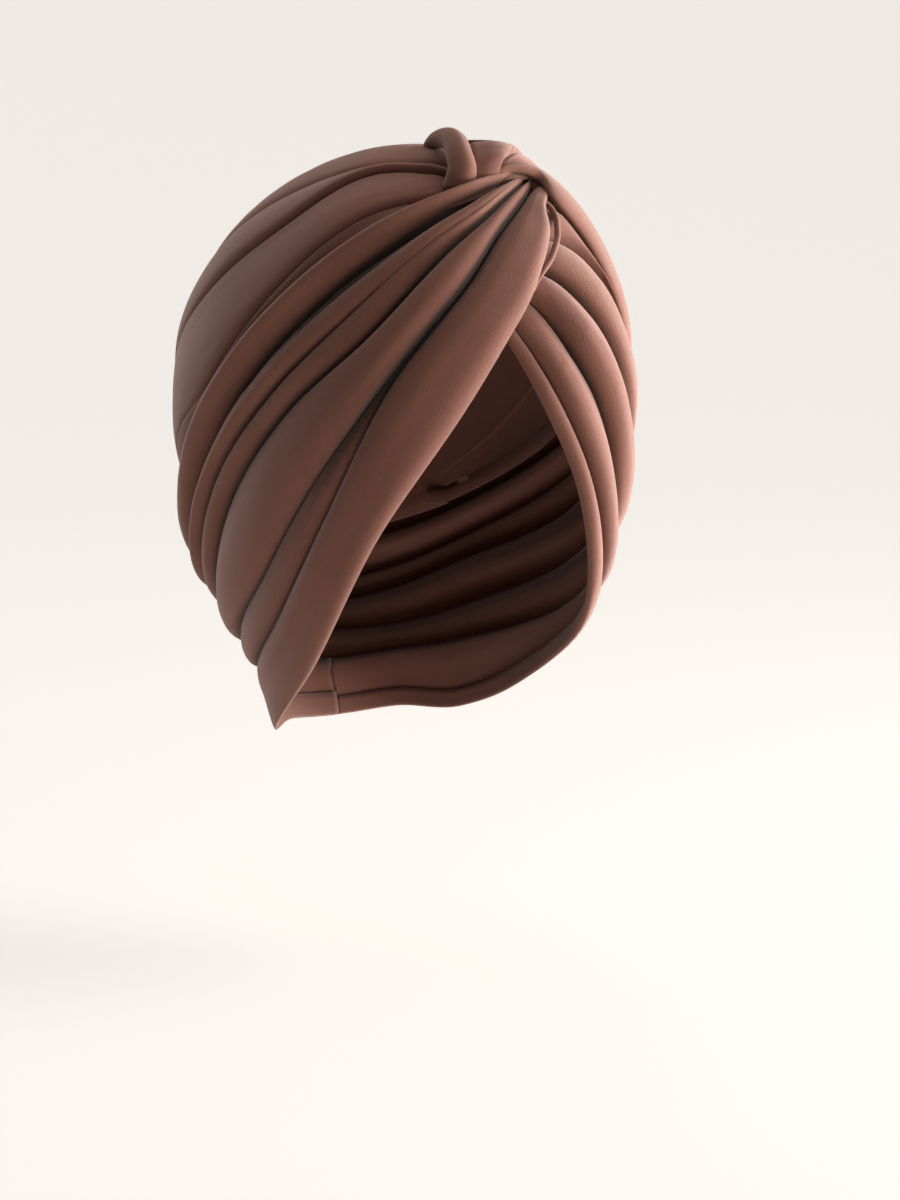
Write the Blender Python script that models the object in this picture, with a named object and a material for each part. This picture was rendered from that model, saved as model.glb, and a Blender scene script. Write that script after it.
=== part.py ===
"""Turban headwrap of soft jersey, tied in an interlocked twist at the front of the crown.

Metres, +Z up. The face looks toward -Y and the wearer's left is +X. The origin is the inside
top of the crown, where the wrap sits on the head.

Each piece of cloth is a sheet stretched over a head-shaped hollow. Creases run along it from the
twist toward the nape. A crease is a row of stops, each a longitude, a latitude and a lift, and the
cloth puffs up between one crease and the next. Longitude is 0 at the face and grows toward the
wearer's right, latitude grows upward, and lift is the cloth's height over the hollow in millimetres.
"""

from collections import namedtuple

import bmesh
import bpy
import numpy as np

MM = 0.001

# Head-shaped hollow, half sizes from its centre
HEAD_HALF_WIDTH = 0.076
HEAD_FRONT = 0.086
HEAD_BACK = 0.098
HEAD_UP = 0.096
CHIN_DOWN = 0.165
NAPE_DOWN = 0.135
NECK_RADIUS = 0.0535
PLAN_POWER = 2.2
UPPER_POWER = 2.0
LOWER_POWER = 2.5
NECK_BLEND = 14
CROWN_CLEARANCE = 0.0075
HEAD_CENTRE = np.array((0.0, 0.0, -HEAD_UP - CROWN_CLEARANCE))

# Cloth
CLOTH_THICKNESS = 0.0016
TUCK_WIDTH = 0.005
TUCK_DROP = 2.15
PLEAT_DROP = 2.7
HEM_DROP = 0.8
TUCK_SLOPE = 1.2
HEM_TUCK = 0.006
SEAM_HALF_GAP = 0.00025
FOLD_ROUNDNESS = 0.55

# Rolled loop of the twist
LOOP_THICKNESS = 0.0138
LOOP_SIDES = 16
LOOP_RINGS = 20

JERSEY = (0.180, 0.095, 0.078, 1.0)
JERSEY_ROUGHNESS = 0.9

# One crease: its name, its stops and how far along the cloth each stop lies, from 0 to 1
Crease = namedtuple("Crease", "name stops")

RIGHT_ALONG = dict(
    knot=0.0, lip=0.045, rim=0.095, brow=0.14, apex=0.20, temple=0.32, cheek=0.52, jaw=0.70,
    neck=0.88, collar=0.94, nape=1.0)
RIGHT_CREASES = (
    Crease("face_edge", dict(
        knot=(-21, 49.7, 15), lip=(-20.4, 43.5, 13.8), rim=(-10.4, 35.2, 12), brow=(0.1, 26.2, 10.5),
        apex=(7.9, 17, 8), temple=(20, -1, 4), cheek=(42, -31, 4), jaw=(70, -58.5, 4),
        neck=(121, -68.3, 8), collar=(150, -68.4, 8), nape=(180, -68.8, 8))),
    Crease("band_crease", dict(
        knot=(-28.5, 55, 15.3), brow=(13, 32, 10), temple=(37, 4, 9), cheek=(57, -27, 8),
        jaw=(79, -49, 7), neck=(124, -61, 6), collar=(152, -62, 6), nape=(180, -63, 6))),
    Crease("temple_crease", dict(
        knot=(-29.5, 56.4, 15.3), brow=(16, 33, 8.5), temple=(40, 7, 7), cheek=(62, -21, 7),
        jaw=(84, -42, 7), neck=(127, -55, 6), nape=(180, -57, 6))),
    Crease("ear_crease", dict(
        knot=(-25, 57.9, 15.5), brow=(21, 40, 11), temple=(44.5, 18.5, 9), cheek=(68, 0, 6.5),
        jaw=(92, -21.5, 6.5), neck=(130, -46, 7), nape=(180, -51, 7))),
    Crease("slit_crease", dict(
        knot=(-20, 58.4, 15.5), brow=(26, 42, 12), temple=(50, 24, 10), cheek=(74, 4, 9),
        jaw=(98, -17, 10), neck=(131, -40, 11), nape=(180, -46, 10))),
    Crease("deep_crease", dict(
        knot=(-13, 58, 15.3), brow=(31, 45, 8.5), temple=(58, 31, 6.5), cheek=(84, 8, 6),
        jaw=(106, -15, 7.5), neck=(131, -35, 10), nape=(180, -41, 10))),
    Crease("right_edge", dict(
        knot=(-6, 57.4, 15), brow=(34, 50, 13), temple=(66, 33, 12), cheek=(93, 9, 13),
        jaw=(113, -10, 14), neck=(132, -26, 14), nape=(180, -32, 13))),
)

LEFT_ALONG = dict(
    under=0.0, cross=0.07, brow=0.20, temple=0.36, side=0.52, ear=0.70, back=0.86, collar=0.93,
    nape=1.0)
LEFT_CREASES = (
    Crease("left_face_edge", dict(
        under=(14, 27, 3), cross=(7, 18, 3), brow=(-2, 3, 3.5), temple=(-17, -20, 3.5),
        side=(-35, -44, 3.5), ear=(-68, -61, 4), back=(-121, -68.3, 8), collar=(-150, -68.4, 8),
        nape=(-180, -68.8, 8))),
    Crease("left_band_crease", dict(
        under=(11, 30, 3), cross=(4, 21, 3.5), brow=(-5, 7, 4.5), temple=(-20, -15, 5),
        side=(-38, -37, 5.5), ear=(-72, -53, 6), back=(-124, -61, 6), collar=(-152, -62, 6),
        nape=(-180, -63, 6))),
    Crease("left_temple_crease", dict(
        under=(8, 33, 3), cross=(-3, 27, 4), brow=(-13, 14, 5), temple=(-26, -3, 5.5),
        side=(-42, -26, 6.5), ear=(-76, -45, 6.5), back=(-127, -55, 6), nape=(-180, -57, 6))),
    Crease("left_ear_crease", dict(
        under=(5, 38, 4), cross=(-10, 34, 5.5), brow=(-22, 24, 8), temple=(-35, 7, 9.5),
        side=(-51, -12, 10.5), ear=(-81, -34, 9), back=(-130, -46, 7), nape=(-180, -51, 7))),
    Crease("left_slit_crease", dict(
        under=(0, 43, 6), cross=(-24, 41.7, 8), brow=(-38, 32.5, 10), temple=(-48, 12, 11.5),
        side=(-60, -7, 12), ear=(-86, -25, 12), back=(-130, -40, 11), nape=(-180, -46, 10))),
)

FOLD_ALONG = dict(
    tip=0.0, arch=0.07, turn=0.12, brow=0.22, temple=0.38, side=0.54, ear=0.72, back=0.87, nape=1.0)
FOLD_CREASES = (
    Crease("fold_front", dict(
        tip=(-9, 58, 19), arch=(-21, 57.2, 18.5), turn=(-24.5, 51.5, 18), brow=(-34, 41.5, 15),
        temple=(-49, 17, 13.5), side=(-63, -2, 13.5), ear=(-90, -19, 13), back=(-131, -35, 12),
        nape=(-180, -41, 10))),
    Crease("fold_back", dict(
        tip=(-9.5, 59, 19.6), arch=(-20, 60.7, 19.5), turn=(-36, 56.5, 19.5), brow=(-50, 44, 17),
        temple=(-62, 24, 15), side=(-77, 5, 14.5), ear=(-99, -11, 14), back=(-132, -26, 14),
        nape=(-180, -32, 13))),
)

PLEAT_ALONG = dict(
    tip=0.0, arch=0.05, turn=0.12, corner=0.20, top=0.32, crest=0.45, back=0.64, low=0.82)
PLEAT_CREASES = (
    Crease("left_crown_front", dict(
        tip=(-9.5, 59.1, 19), arch=(-17, 61.8, 18.5), turn=(-36, 60, 18), corner=(-54, 52.5, 16),
        top=(-72, 40, 15), crest=(-84, 26, 15), back=(-100, 8, 15), low=(-120, -12, 15))),
    Crease("left_crown_middle", dict(
        tip=(-9.3, 59.4, 18.9), arch=(-16, 62.3, 20), turn=(-38, 64.3, 20), corner=(-64, 62, 17.5),
        top=(-88, 57, 14), crest=(-108, 47, 13), back=(-130, 25, 14), low=(-146, 0, 16))),
    Crease("top_pleat", dict(
        tip=(-9, 59.8, 18.8), arch=(-14, 62.3, 19.5), turn=(-36, 66.6, 20.8), corner=(-60, 72, 19.6),
        top=(-110, 79, 14), crest=(-163, 68, 10.5), back=(-174, 38, 13), low=(-178, 4, 17))),
)

CROWN_ALONG = dict(
    under=0.0, meet=0.03, bridge=0.06, ring=0.10, gather=0.18, crown=0.32, shoulder=0.49, side=0.66,
    outline=0.84)
CROWN_CREASES = (
    Crease("pin_pleat", dict(
        under=(-9, 59, 12.5), meet=(-6.5, 59.8, 15.5), bridge=(-3, 59.9, 14.5),
        ring=(5, 59.6, 4.5), gather=(22, 57, 6.5),
        crown=(48, 49.5, 11.5), shoulder=(76, 30.5, 12), side=(102, 4, 14), outline=(129, -14, 16))),
    Crease("crown_ridge", dict(
        under=(-20, 61.8, 13.8), meet=(-15, 63.2, 17.3), bridge=(-10, 64.8, 18),
        ring=(0, 65.4, 7.5), gather=(19, 66.5, 8.5),
        crown=(51, 65.5, 10.5), shoulder=(86, 50, 11), side=(113, 29, 14), outline=(138, 4, 16))),
    Crease("crown_valley", dict(
        under=(-40, 65, 15), meet=(-31, 67.4, 18.5), bridge=(-22, 70, 19.3),
        ring=(-9, 71.8, 7.5), gather=(14, 72, 7.5),
        crown=(60, 70, 9.5), shoulder=(108, 60, 9.5), side=(134, 38, 13), outline=(154, 10, 16))),
)

# Where a crown's edge leaves the wrap's top edge, and where along that edge each crease ends
CORNER_REACH = 0.88
LEFT_HEM_REACH = (0.92, 0.96, 1.0)
RIGHT_HEM_REACH = (0.91, 0.94, 0.97)
# Where the right crown's edge starts under the top pleat, and the left wrap's under the long fold
PLEAT_REACH = 0.20
FOLD_REACH = 0.12
# How much lower the tucked edges start at the twist, and over how much of the length they come up
UNDER_FAN_DROP = 3.0
UNDER_FAN_REACH = 0.05
CROWN_START_DROP = 1.5
CROWN_START_REACH = 0.1
# Share of the tuck's width at the twist, and how far along it is at its full width
TUCK_START_SHARE = 0.25
TUCK_WIDENING_REACH = 0.25

# The cloth's height between two creases, in millimetres, at the start, near the front, at the side
# and at the end of a sheet, and how far its crest leans toward the second crease
Puff = namedtuple("Puff", "start front side end lean")
PUFF_ALONG = (0.0, 0.2, 0.6, 1.0)

RIGHT_PUFFS = (
    Puff(1.0, 6.5, 6.5, 4.0, 0.0),
    Puff(0.0, 0.3, 2.0, 6.0, 0.0),
    Puff(0.8, 7.0, 8.0, 6.0, 0.0),
    Puff(0.5, 3.0, 5.0, 5.0, 0.0),
    Puff(0.5, 5.0, 8.0, 7.0, 0.0),
    Puff(0.8, 7.5, 7.5, 6.0, -0.15),
)
LEFT_PUFFS = (
    Puff(0.3, 3.0, 4.0, 4.0, 0.0),
    Puff(0.3, 5.5, 6.5, 6.0, 0.0),
    Puff(0.5, 7.5, 8.0, 6.0, 0.0),
    Puff(0.5, 5.0, 5.0, 5.0, 0.0),
    Puff(2.0, 3.5, 2.5, 6.0, 0.0),
)
FOLD_PUFFS = (Puff(1.5, 4.0, 4.5, 5.0, 0.0),)
LEFT_CROWN_PUFFS = (
    Puff(0.3, 2.0, 2.0, 0.0, 0.0),
    Puff(0.3, 1.5, 1.5, 0.0, 0.0),
    Puff(0.3, 1.5, 1.5, 0.0, 0.0),
)
RIGHT_CROWN_PUFFS = (
    Puff(0.3, 1.0, 1.5, 0.0, 0.0),
    Puff(0.3, 1.2, 1.5, 0.0, 0.0),
    Puff(0.3, 2.0, 1.5, 0.0, 0.0),
    Puff(0.3, 0.8, 1.5, 0.0, 0.0),
)

# The loop's centre line from its near foot over the top to its far foot, from the head's centre
LoopStop = namedtuple("LoopStop", "x y z taper")
LOOP_LINE = (
    LoopStop(-0.0110, -0.0512, 0.0915, 0.72),
    LoopStop(-0.0105, -0.0527, 0.0950, 0.93),
    LoopStop(-0.0079, -0.0505, 0.0995, 1.0),
    LoopStop(-0.0040, -0.0430, 0.1042, 1.0),
    LoopStop(-0.0008, -0.0330, 0.1070, 1.0),
    LoopStop(0.0012, -0.0252, 0.1077, 0.90),
    LoopStop(0.0022, -0.0205, 0.1066, 0.68),
)

CREASE_STEPS = (0.0, 0.12, 0.5, 0.88)
WRAP_ROWS = 28
CROWN_ROWS = 30
CROWN_ROW_PACKING = 1.4
FLAT = Puff(0.0, 0.0, 0.0, 0.0, 0.0)


def head_radius(direction):
    """Distance from the head's centre to the hollow's wall along each unit direction."""
    x, y, z = direction[..., 0], direction[..., 1], direction[..., 2]
    level = np.maximum(np.hypot(x, y), 1e-6)
    depth = np.where(y < 0, HEAD_FRONT, HEAD_BACK)
    plan = (np.abs(x / HEAD_HALF_WIDTH) ** PLAN_POWER + np.abs(y / depth) ** PLAN_POWER) ** (
        1 / PLAN_POWER
    )
    lower = NAPE_DOWN + (CHIN_DOWN - NAPE_DOWN) * (1 - y / level) / 2
    height = np.where(z > 0, HEAD_UP, lower)
    power = np.where(z > 0, UPPER_POWER, LOWER_POWER)
    egg = (plan**power + np.abs(z / height) ** power) ** (-1 / power)
    neck = np.where(z < 0, NECK_RADIUS / np.maximum(level, 0.25), 0.0)
    return (egg**NECK_BLEND + neck**NECK_BLEND) ** (1 / NECK_BLEND)


def direction_of(longitude, latitude):
    around, up = np.radians(longitude), np.radians(latitude)
    return np.array((-np.sin(around) * np.cos(up), -np.cos(around) * np.cos(up), np.sin(up)))


def smooth_curve(knots, values, along):
    """Values at each place along, on a curve through the knots with no corners."""
    knots, values, along = np.asarray(knots), np.asarray(values, float), np.asarray(along)
    steps = np.diff(knots)[:, None]
    slopes = np.diff(values, axis=0) / steps
    tangents = np.empty_like(values)
    tangents[0], tangents[-1] = slopes[0], slopes[-1]
    tangents[1:-1] = (slopes[:-1] * steps[1:] + slopes[1:] * steps[:-1]) / (steps[:-1] + steps[1:])
    i = np.clip(np.searchsorted(knots, along, side="right") - 1, 0, len(knots) - 2)
    span = steps[i]
    t = ((along - knots[i])[:, None]) / span
    return (
        (2 * t**3 - 3 * t**2 + 1) * values[i]
        + (t**3 - 2 * t**2 + t) * span * tangents[i]
        + (3 * t**2 - 2 * t**3) * values[i + 1]
        + (t**3 - t**2) * span * tangents[i + 1]
    )


def crease_line(crease, places, along, hem=None):
    """Unit directions and lifts of a crease at each place along it.

    The curve runs by the length of cloth between its stops, and ends at the hem row if one is
    given. Where it ends on the line down the middle of the back, it goes on as its own mirror
    image, so that it crosses that line level.
    """
    stops = list(crease.stops.values())
    knots = [places[place] for place in crease.stops]
    if abs(stops[-1][0]) == 180:
        longitude, latitude, lift = stops[-2]
        stops.append((-longitude, latitude, lift))
        knots.append(2 * knots[-1] - knots[-2])
    rows = np.array([(*direction_of(longitude, latitude), lift) for longitude, latitude, lift in stops])
    if hem is not None:
        rows = np.concatenate((rows, hem[None]))
        knots.append(1.0)
    lengths = np.concatenate(((0.0,), np.cumsum(np.linalg.norm(np.diff(rows[:, :3], axis=0), axis=1))))
    line = smooth_curve(lengths, rows, np.interp(along, knots, lengths))
    line[:, :3] /= np.linalg.norm(line[:, :3], axis=1, keepdims=True)
    return line


def named(creases, name):
    return next(crease for crease in creases if crease.name == name)


def lowered(line, drop):
    """The same line, with its lift less by drop millimetres."""
    lower = line.copy()
    lower[:, 3] -= drop
    return lower


def beyond(line, inner, along):
    """A line one tuck's width past a sheet's edge line, square to it, away from the inner line."""
    widening = TUCK_START_SHARE + (1 - TUCK_START_SHARE) * along / TUCK_WIDENING_REACH
    width = TUCK_WIDTH * np.minimum(widening, 1)[:, None]
    away = np.cross(np.gradient(line[:, :3], axis=0), line[:, :3])
    away *= np.sign(((line - inner)[:, :3] * away).sum())
    away /= np.linalg.norm(away, axis=1, keepdims=True)
    past = line.copy()
    radius = head_radius(line[:, :3])[:, None]
    past[:, :3] += away * width / radius
    past[:, :3] /= np.linalg.norm(past[:, :3], axis=1, keepdims=True)
    past[:, 3] -= TUCK_SLOPE
    return past


def arch(share):
    """Height of a fold's cross-section, 0 at its two creases and 1 at its crest."""
    return np.maximum(1 - np.abs(2 * share - 1) ** 2, 0) ** FOLD_ROUNDNESS


def puff_height(puff, along):
    return np.interp(along, PUFF_ALONG, puff[:4])


def surface_rows(lines, puffs, along, steps):
    """Points of a sheet: one row for each place along it, one column for each step across it."""
    columns = []
    for first, second, puff in zip(lines, lines[1:], puffs):
        for share in steps if puff != FLAT else steps[:1]:
            crest = arch(share)
            lean = share + puff.lean * crest
            line = first * (1 - lean) + second * lean
            lift = first[:, 3] * (1 - share) + second[:, 3] * share
            line[:, 3] = lift + puff_height(puff, along) * crest
            columns.append(line)
    columns.append(lines[-1])
    grid = np.stack(columns, axis=1)
    unit = grid[..., :3] / np.linalg.norm(grid[..., :3], axis=-1, keepdims=True)
    radius = head_radius(unit) + grid[..., 3] * MM
    return HEAD_CENTRE + unit * radius[..., None]


def ended_at_seam(points):
    """The same rows, with the last one kept just clear of the seam down the middle of the back."""
    points[-1, :, 0] = np.sign(points[-2, :, 0]) * SEAM_HALF_GAP
    return points


def with_tucked_hem(points):
    """The same rows and one more, square to the last row and closer to the head."""
    radial = points[-1] - HEAD_CENTRE
    radial /= np.linalg.norm(radial, axis=1, keepdims=True)
    away = np.cross(np.gradient(points[-1], axis=0), radial)
    away *= np.sign(((points[-1] - points[-2]) * away).sum())
    away /= np.linalg.norm(away, axis=1, keepdims=True)
    hem = points[-1] + away * HEM_TUCK - radial * TUCK_SLOPE * MM
    return np.concatenate((points, hem[None]))


def make_material(piece):
    material = bpy.data.materials.new(piece + "_jersey")
    material.use_nodes = True
    shader = material.node_tree.nodes["Principled BSDF"]
    shader.inputs["Base Color"].default_value = JERSEY
    shader.inputs["Roughness"].default_value = JERSEY_ROUGHNESS
    shader.inputs["Metallic"].default_value = 0.0
    return material


def make_sheet(name, points, material, flip=False):
    """A sheet object over a grid of points, given its thickness on the head's side."""
    rows, columns = points.shape[:2]
    mesh_form = bmesh.new()
    grid = bmesh.ops.create_grid(mesh_form, x_segments=columns - 1, y_segments=rows - 1, size=1.0)
    corners = sorted(grid["verts"], key=lambda v: (round(v.co.y, 6), round(v.co.x, 6)))
    for vertex, place in zip(corners, points.reshape(-1, 3)):
        vertex.co = place
    if flip:
        bmesh.ops.reverse_faces(mesh_form, faces=mesh_form.faces)
    mesh = bpy.data.meshes.new(name)
    mesh_form.to_mesh(mesh)
    mesh_form.free()
    mesh.shade_smooth()
    mesh.materials.append(material)
    sheet = bpy.data.objects.new(name, mesh)
    bpy.context.scene.collection.objects.link(sheet)
    wall = sheet.modifiers.new("cloth_thickness", "SOLIDIFY")
    wall.thickness = CLOTH_THICKNESS
    wall.offset = -1.0
    wall.use_even_offset = False
    return sheet


def right_wrap_points(along, steps):
    lines = [crease_line(crease, RIGHT_ALONG, along) for crease in RIGHT_CREASES]
    return ended_at_seam(surface_rows(lines, RIGHT_PUFFS, along, steps))


def left_wrap_points(along, steps):
    lines = [crease_line(crease, LEFT_ALONG, along) for crease in LEFT_CREASES]
    reach = FOLD_REACH + (1 - FOLD_REACH) * along
    fold_front = crease_line(named(FOLD_CREASES, "fold_front"), FOLD_ALONG, reach)
    tucked = lowered(fold_front, TUCK_DROP + UNDER_FAN_DROP * np.clip(1 - along / UNDER_FAN_REACH, 0, 1))
    lines += [tucked, beyond(tucked, lines[-1], along)]
    return ended_at_seam(surface_rows(lines, (*LEFT_PUFFS, FLAT), along, steps))


def long_fold_points(along, steps):
    lines = [crease_line(crease, FOLD_ALONG, along) for crease in FOLD_CREASES]
    return ended_at_seam(surface_rows(lines, FOLD_PUFFS, along, steps))


def left_edge_line(reach):
    """The long fold's back edge at each reach along it, lowered to where the crown lies under it."""
    return lowered(crease_line(named(FOLD_CREASES, "fold_back"), FOLD_ALONG, reach), TUCK_DROP)


def right_edge_line(reach):
    """The right wrap's back edge at each reach along it, lowered in the same way."""
    return lowered(crease_line(named(RIGHT_CREASES, "right_edge"), RIGHT_ALONG, reach), TUCK_DROP)


def pleat_lines(along):
    """The left crown's creases, each ending on the long fold's back edge."""
    hems = lowered(left_edge_line(np.array(LEFT_HEM_REACH)), HEM_DROP)
    return [crease_line(crease, PLEAT_ALONG, along, hem) for crease, hem in zip(PLEAT_CREASES, hems)]


def left_crown_points(along, steps):
    tucked = left_edge_line(CORNER_REACH * along)
    lines = pleat_lines(along)
    lines = [beyond(tucked, lines[0], along), tucked, *lines]
    return with_tucked_hem(surface_rows(lines, (FLAT, *LEFT_CROWN_PUFFS), along, steps))


def right_crown_points(along, steps):
    start_drop = CROWN_START_DROP * np.clip(1 - along / CROWN_START_REACH, 0, 1)
    tucked = lowered(right_edge_line(CORNER_REACH * along), start_drop)
    hems = lowered(right_edge_line(np.array(RIGHT_HEM_REACH)), HEM_DROP)
    lines = [crease_line(crease, CROWN_ALONG, along, hem) for crease, hem in zip(CROWN_CREASES, hems)]
    pleat = lowered(pleat_lines(PLEAT_REACH + (1 - PLEAT_REACH) * along)[-1], PLEAT_DROP)
    lines = [
        beyond(tucked, lines[0], along),
        tucked,
        *lines,
        pleat,
        beyond(pleat, lines[-1], along),
    ]
    return with_tucked_hem(surface_rows(lines, (FLAT, *RIGHT_CROWN_PUFFS, FLAT), along, steps))


def make_knot_loop(material):
    """The rolled loop: a tube along its centre line, narrower at its feet, with closed ends."""
    line = bpy.data.curves.new("knot_loop", "CURVE")
    line.dimensions = "3D"
    line.bevel_depth = LOOP_THICKNESS / 2
    line.bevel_resolution = LOOP_SIDES // 4 - 1
    line.use_fill_caps = True
    knots = np.linspace(0, 1, len(LOOP_LINE))
    rings = smooth_curve(knots, LOOP_LINE, np.linspace(0, 1, LOOP_RINGS))
    spline = line.splines.new("POLY")
    spline.points.add(LOOP_RINGS - 1)
    for point, ring in zip(spline.points, rings):
        point.co = (*(ring[:3] + HEAD_CENTRE), 1.0)
        point.radius = ring[3]
    line.materials.append(material)
    loop = bpy.data.objects.new("knot_loop", line)
    bpy.context.scene.collection.objects.link(loop)
    return loop


def main():
    for old in list(bpy.data.objects):
        bpy.data.objects.remove(old, do_unlink=True)
    along = np.linspace(0, 1, WRAP_ROWS)
    packed = np.linspace(0, 1, CROWN_ROWS) ** CROWN_ROW_PACKING
    right_wrap = right_wrap_points(along, CREASE_STEPS)
    left_wrap = left_wrap_points(along, CREASE_STEPS)
    long_fold = long_fold_points(along, CREASE_STEPS)
    right_crown = right_crown_points(packed, CREASE_STEPS)
    left_crown = left_crown_points(packed, CREASE_STEPS)
    make_sheet("right_wrap", right_wrap, make_material("right_wrap"))
    make_sheet("left_wrap", left_wrap, make_material("left_wrap"), flip=True)
    make_sheet("long_fold", long_fold, make_material("long_fold"), flip=True)
    make_sheet("right_crown", right_crown, make_material("right_crown"))
    make_sheet("left_crown", left_crown, make_material("left_crown"), flip=True)
    make_knot_loop(make_material("knot_loop"))


main()
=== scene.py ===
"""Turban headwrap of brushed jersey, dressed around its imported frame.

Metres, +Z up. The face looks toward -Y and the wearer's left is +X. The origin is the inside top
of the crown. Each piece of cloth is a sheet stretched over a head-shaped hollow, with creases that
run along it from the twist toward the nape and folds that swell between them. A crease is a row of
stops, each a longitude, a latitude and a lift: longitude is 0 at the face and grows toward the
wearer's right, latitude grows upward, and lift is the cloth's height over the hollow in millimetres.
"""

import logging
import math
from dataclasses import dataclass, field
from enum import Enum

import bmesh
import bpy
import numpy as np
from mathutils import Matrix, Vector, noise


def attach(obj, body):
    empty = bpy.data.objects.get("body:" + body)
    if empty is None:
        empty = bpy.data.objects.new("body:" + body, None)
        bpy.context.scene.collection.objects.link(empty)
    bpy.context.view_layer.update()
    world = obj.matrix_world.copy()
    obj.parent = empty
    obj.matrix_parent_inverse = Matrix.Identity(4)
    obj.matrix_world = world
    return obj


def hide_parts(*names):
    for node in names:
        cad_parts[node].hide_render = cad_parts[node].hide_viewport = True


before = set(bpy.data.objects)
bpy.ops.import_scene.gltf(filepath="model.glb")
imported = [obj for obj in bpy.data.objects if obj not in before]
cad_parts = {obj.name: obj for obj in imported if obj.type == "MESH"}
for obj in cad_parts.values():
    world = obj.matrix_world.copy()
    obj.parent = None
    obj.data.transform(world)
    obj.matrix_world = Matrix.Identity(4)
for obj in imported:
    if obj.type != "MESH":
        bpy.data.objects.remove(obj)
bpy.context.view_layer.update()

MM = 0.001
BODY = "root"
LOG = logging.getLogger("headwrap")

Stop = tuple[float, float, float]
Stages = tuple[float, float, float, float]


class Turn(Enum):
    """Which way a sheet's columns run, seen from outside, so that its faces point outward."""

    AS_BUILT = "as built"
    REVERSED = "reversed"


class EdgeKind(Enum):
    """How a sheet's long edge is finished."""

    ROLLED = "rolled"
    TUCKED = "tucked"


@dataclass(frozen=True)
class HeadForm:
    """The hollow that the cloth is stretched over, as half sizes from its centre, in metres."""

    half_width: float = 0.076
    front: float = 0.086
    back: float = 0.098
    up: float = 0.096
    chin_down: float = 0.165
    nape_down: float = 0.135
    neck_radius: float = 0.0535
    plan_power: float = 2.2
    upper_power: float = 2.0
    lower_power: float = 2.5
    neck_blend: float = 14.0
    crown_clearance: float = 0.0075

    @property
    def centre(self) -> np.ndarray:
        """The hollow's centre, below the origin."""
        return np.array((0.0, 0.0, -self.up - self.crown_clearance))

    def radius(self, unit: np.ndarray) -> np.ndarray:
        """Distance from the centre to the hollow's wall along each unit direction.

        Args:
            unit: Directions, with x, y and z on the last axis.

        Returns:
            The distances, in metres.
        """
        x, y, z = unit[..., 0], unit[..., 1], unit[..., 2]
        level = np.maximum(np.hypot(x, y), 1e-6)
        depth = np.where(y < 0, self.front, self.back)
        plan = np.abs(x / self.half_width) ** self.plan_power + np.abs(y / depth) ** self.plan_power
        plan = plan ** (1 / self.plan_power)
        lower = self.nape_down + (self.chin_down - self.nape_down) * (1 - y / level) / 2
        height = np.where(z > 0, self.up, lower)
        power = np.where(z > 0, self.upper_power, self.lower_power)
        egg = (plan**power + np.abs(z / height) ** power) ** (-1 / power)
        neck = np.where(z < 0, self.neck_radius / np.maximum(level, 0.25), 0.0)
        return (egg**self.neck_blend + neck**self.neck_blend) ** (1 / self.neck_blend)


HEAD = HeadForm()


@dataclass(frozen=True)
class Crease:
    """A valley or edge line of the cloth.

    Attributes:
        name: The crease's plain name.
        stops: Its stops by the name of the place along the sheet.
        notch: How deep its narrow cleft is at the start, front, side and end, in millimetres.
        width: Half width of that cleft, in millimetres.
    """

    name: str
    stops: dict[str, Stop]
    notch: Stages = (0.0, 0.0, 0.0, 0.0)
    width: float = 1.2


@dataclass(frozen=True)
class Fold:
    """The cloth's cross-section between two creases.

    Attributes:
        height: Swell over the creases at the start, front, side and end, in millimetres.
        peak: Where the crest lies there, as a share of the way to the second crease.
        soft: How gently the cloth slopes on each side, from 0 round to 1 a soft dip.
        soft_start: The same beside the twist.
        spread: How wide the flat top is; 1 is none.
        shoulder: Beside the twist, 1 if the second crease lies on a rounded top there, -1 if the
            first one does, 0 if neither.
        lean: How far the crest leans toward the second crease, as a share of the width.
        columns: Columns of the mesh across it.
    """

    height: Stages
    peak: Stages = (0.5, 0.5, 0.5, 0.5)
    soft: tuple[float, float] = (0.3, 0.3)
    soft_start: tuple[float, float] = (0.05, 0.05)
    spread: float = 1.1
    lean: float = 0.0
    shoulder: int = 0
    columns: int = 18

    def slope(self, share: float, along: np.ndarray) -> np.ndarray:
        """How far the cloth has gone from the first crease's lift to the second's.

        Args:
            share: How far across the fold it is wanted, from 0 to 1.
            along: Where the rows lie along the sheet.

        Returns:
            A share of the difference for each row.
        """
        turned = math.pi / 2 * share
        rounded = {1: math.sin(turned), 0: share, -1: 1 - math.cos(turned)}[self.shoulder]
        return share + (rounded - share) * np.clip((0.24 - along) / 0.10, 0, 1)

    def swell(self, share: float, along: np.ndarray) -> np.ndarray:
        """How much of the fold's height the cloth has.

        Args:
            share: How far across the fold it is wanted, from 0 to 1.
            along: Where the rows lie along the sheet.

        Returns:
            A share of the height for each row.
        """
        peak = np.interp(along, STAGES, self.peak)
        rising = share < peak
        climb = np.where(rising, share / peak, (1 - share) / (1 - peak))
        climb = np.clip(climb * self.spread, 0, 1)
        away = np.clip((along - 0.03) / 0.17, 0, 1)
        sides = [start + (soft - start) * away for start, soft in zip(self.soft_start, self.soft)]
        soft = np.where(rising, *sides)
        return (1 - soft) * np.sqrt(1 - (1 - climb) ** 2) + soft * climb**2 * (3 - 2 * climb)


@dataclass(frozen=True)
class Crinkle:
    """A soft line pressed into a fold or raised on it.

    Attributes:
        fold: Number of the fold it lies in.
        start: Where it begins, as a share along the sheet and a share across the fold.
        end: Where it ends, in the same way.
        height: Its height in millimetres, negative for a groove.
        width: Its half width in millimetres.
    """

    fold: int
    start: tuple[float, float]
    end: tuple[float, float]
    height: float
    width: float


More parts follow.
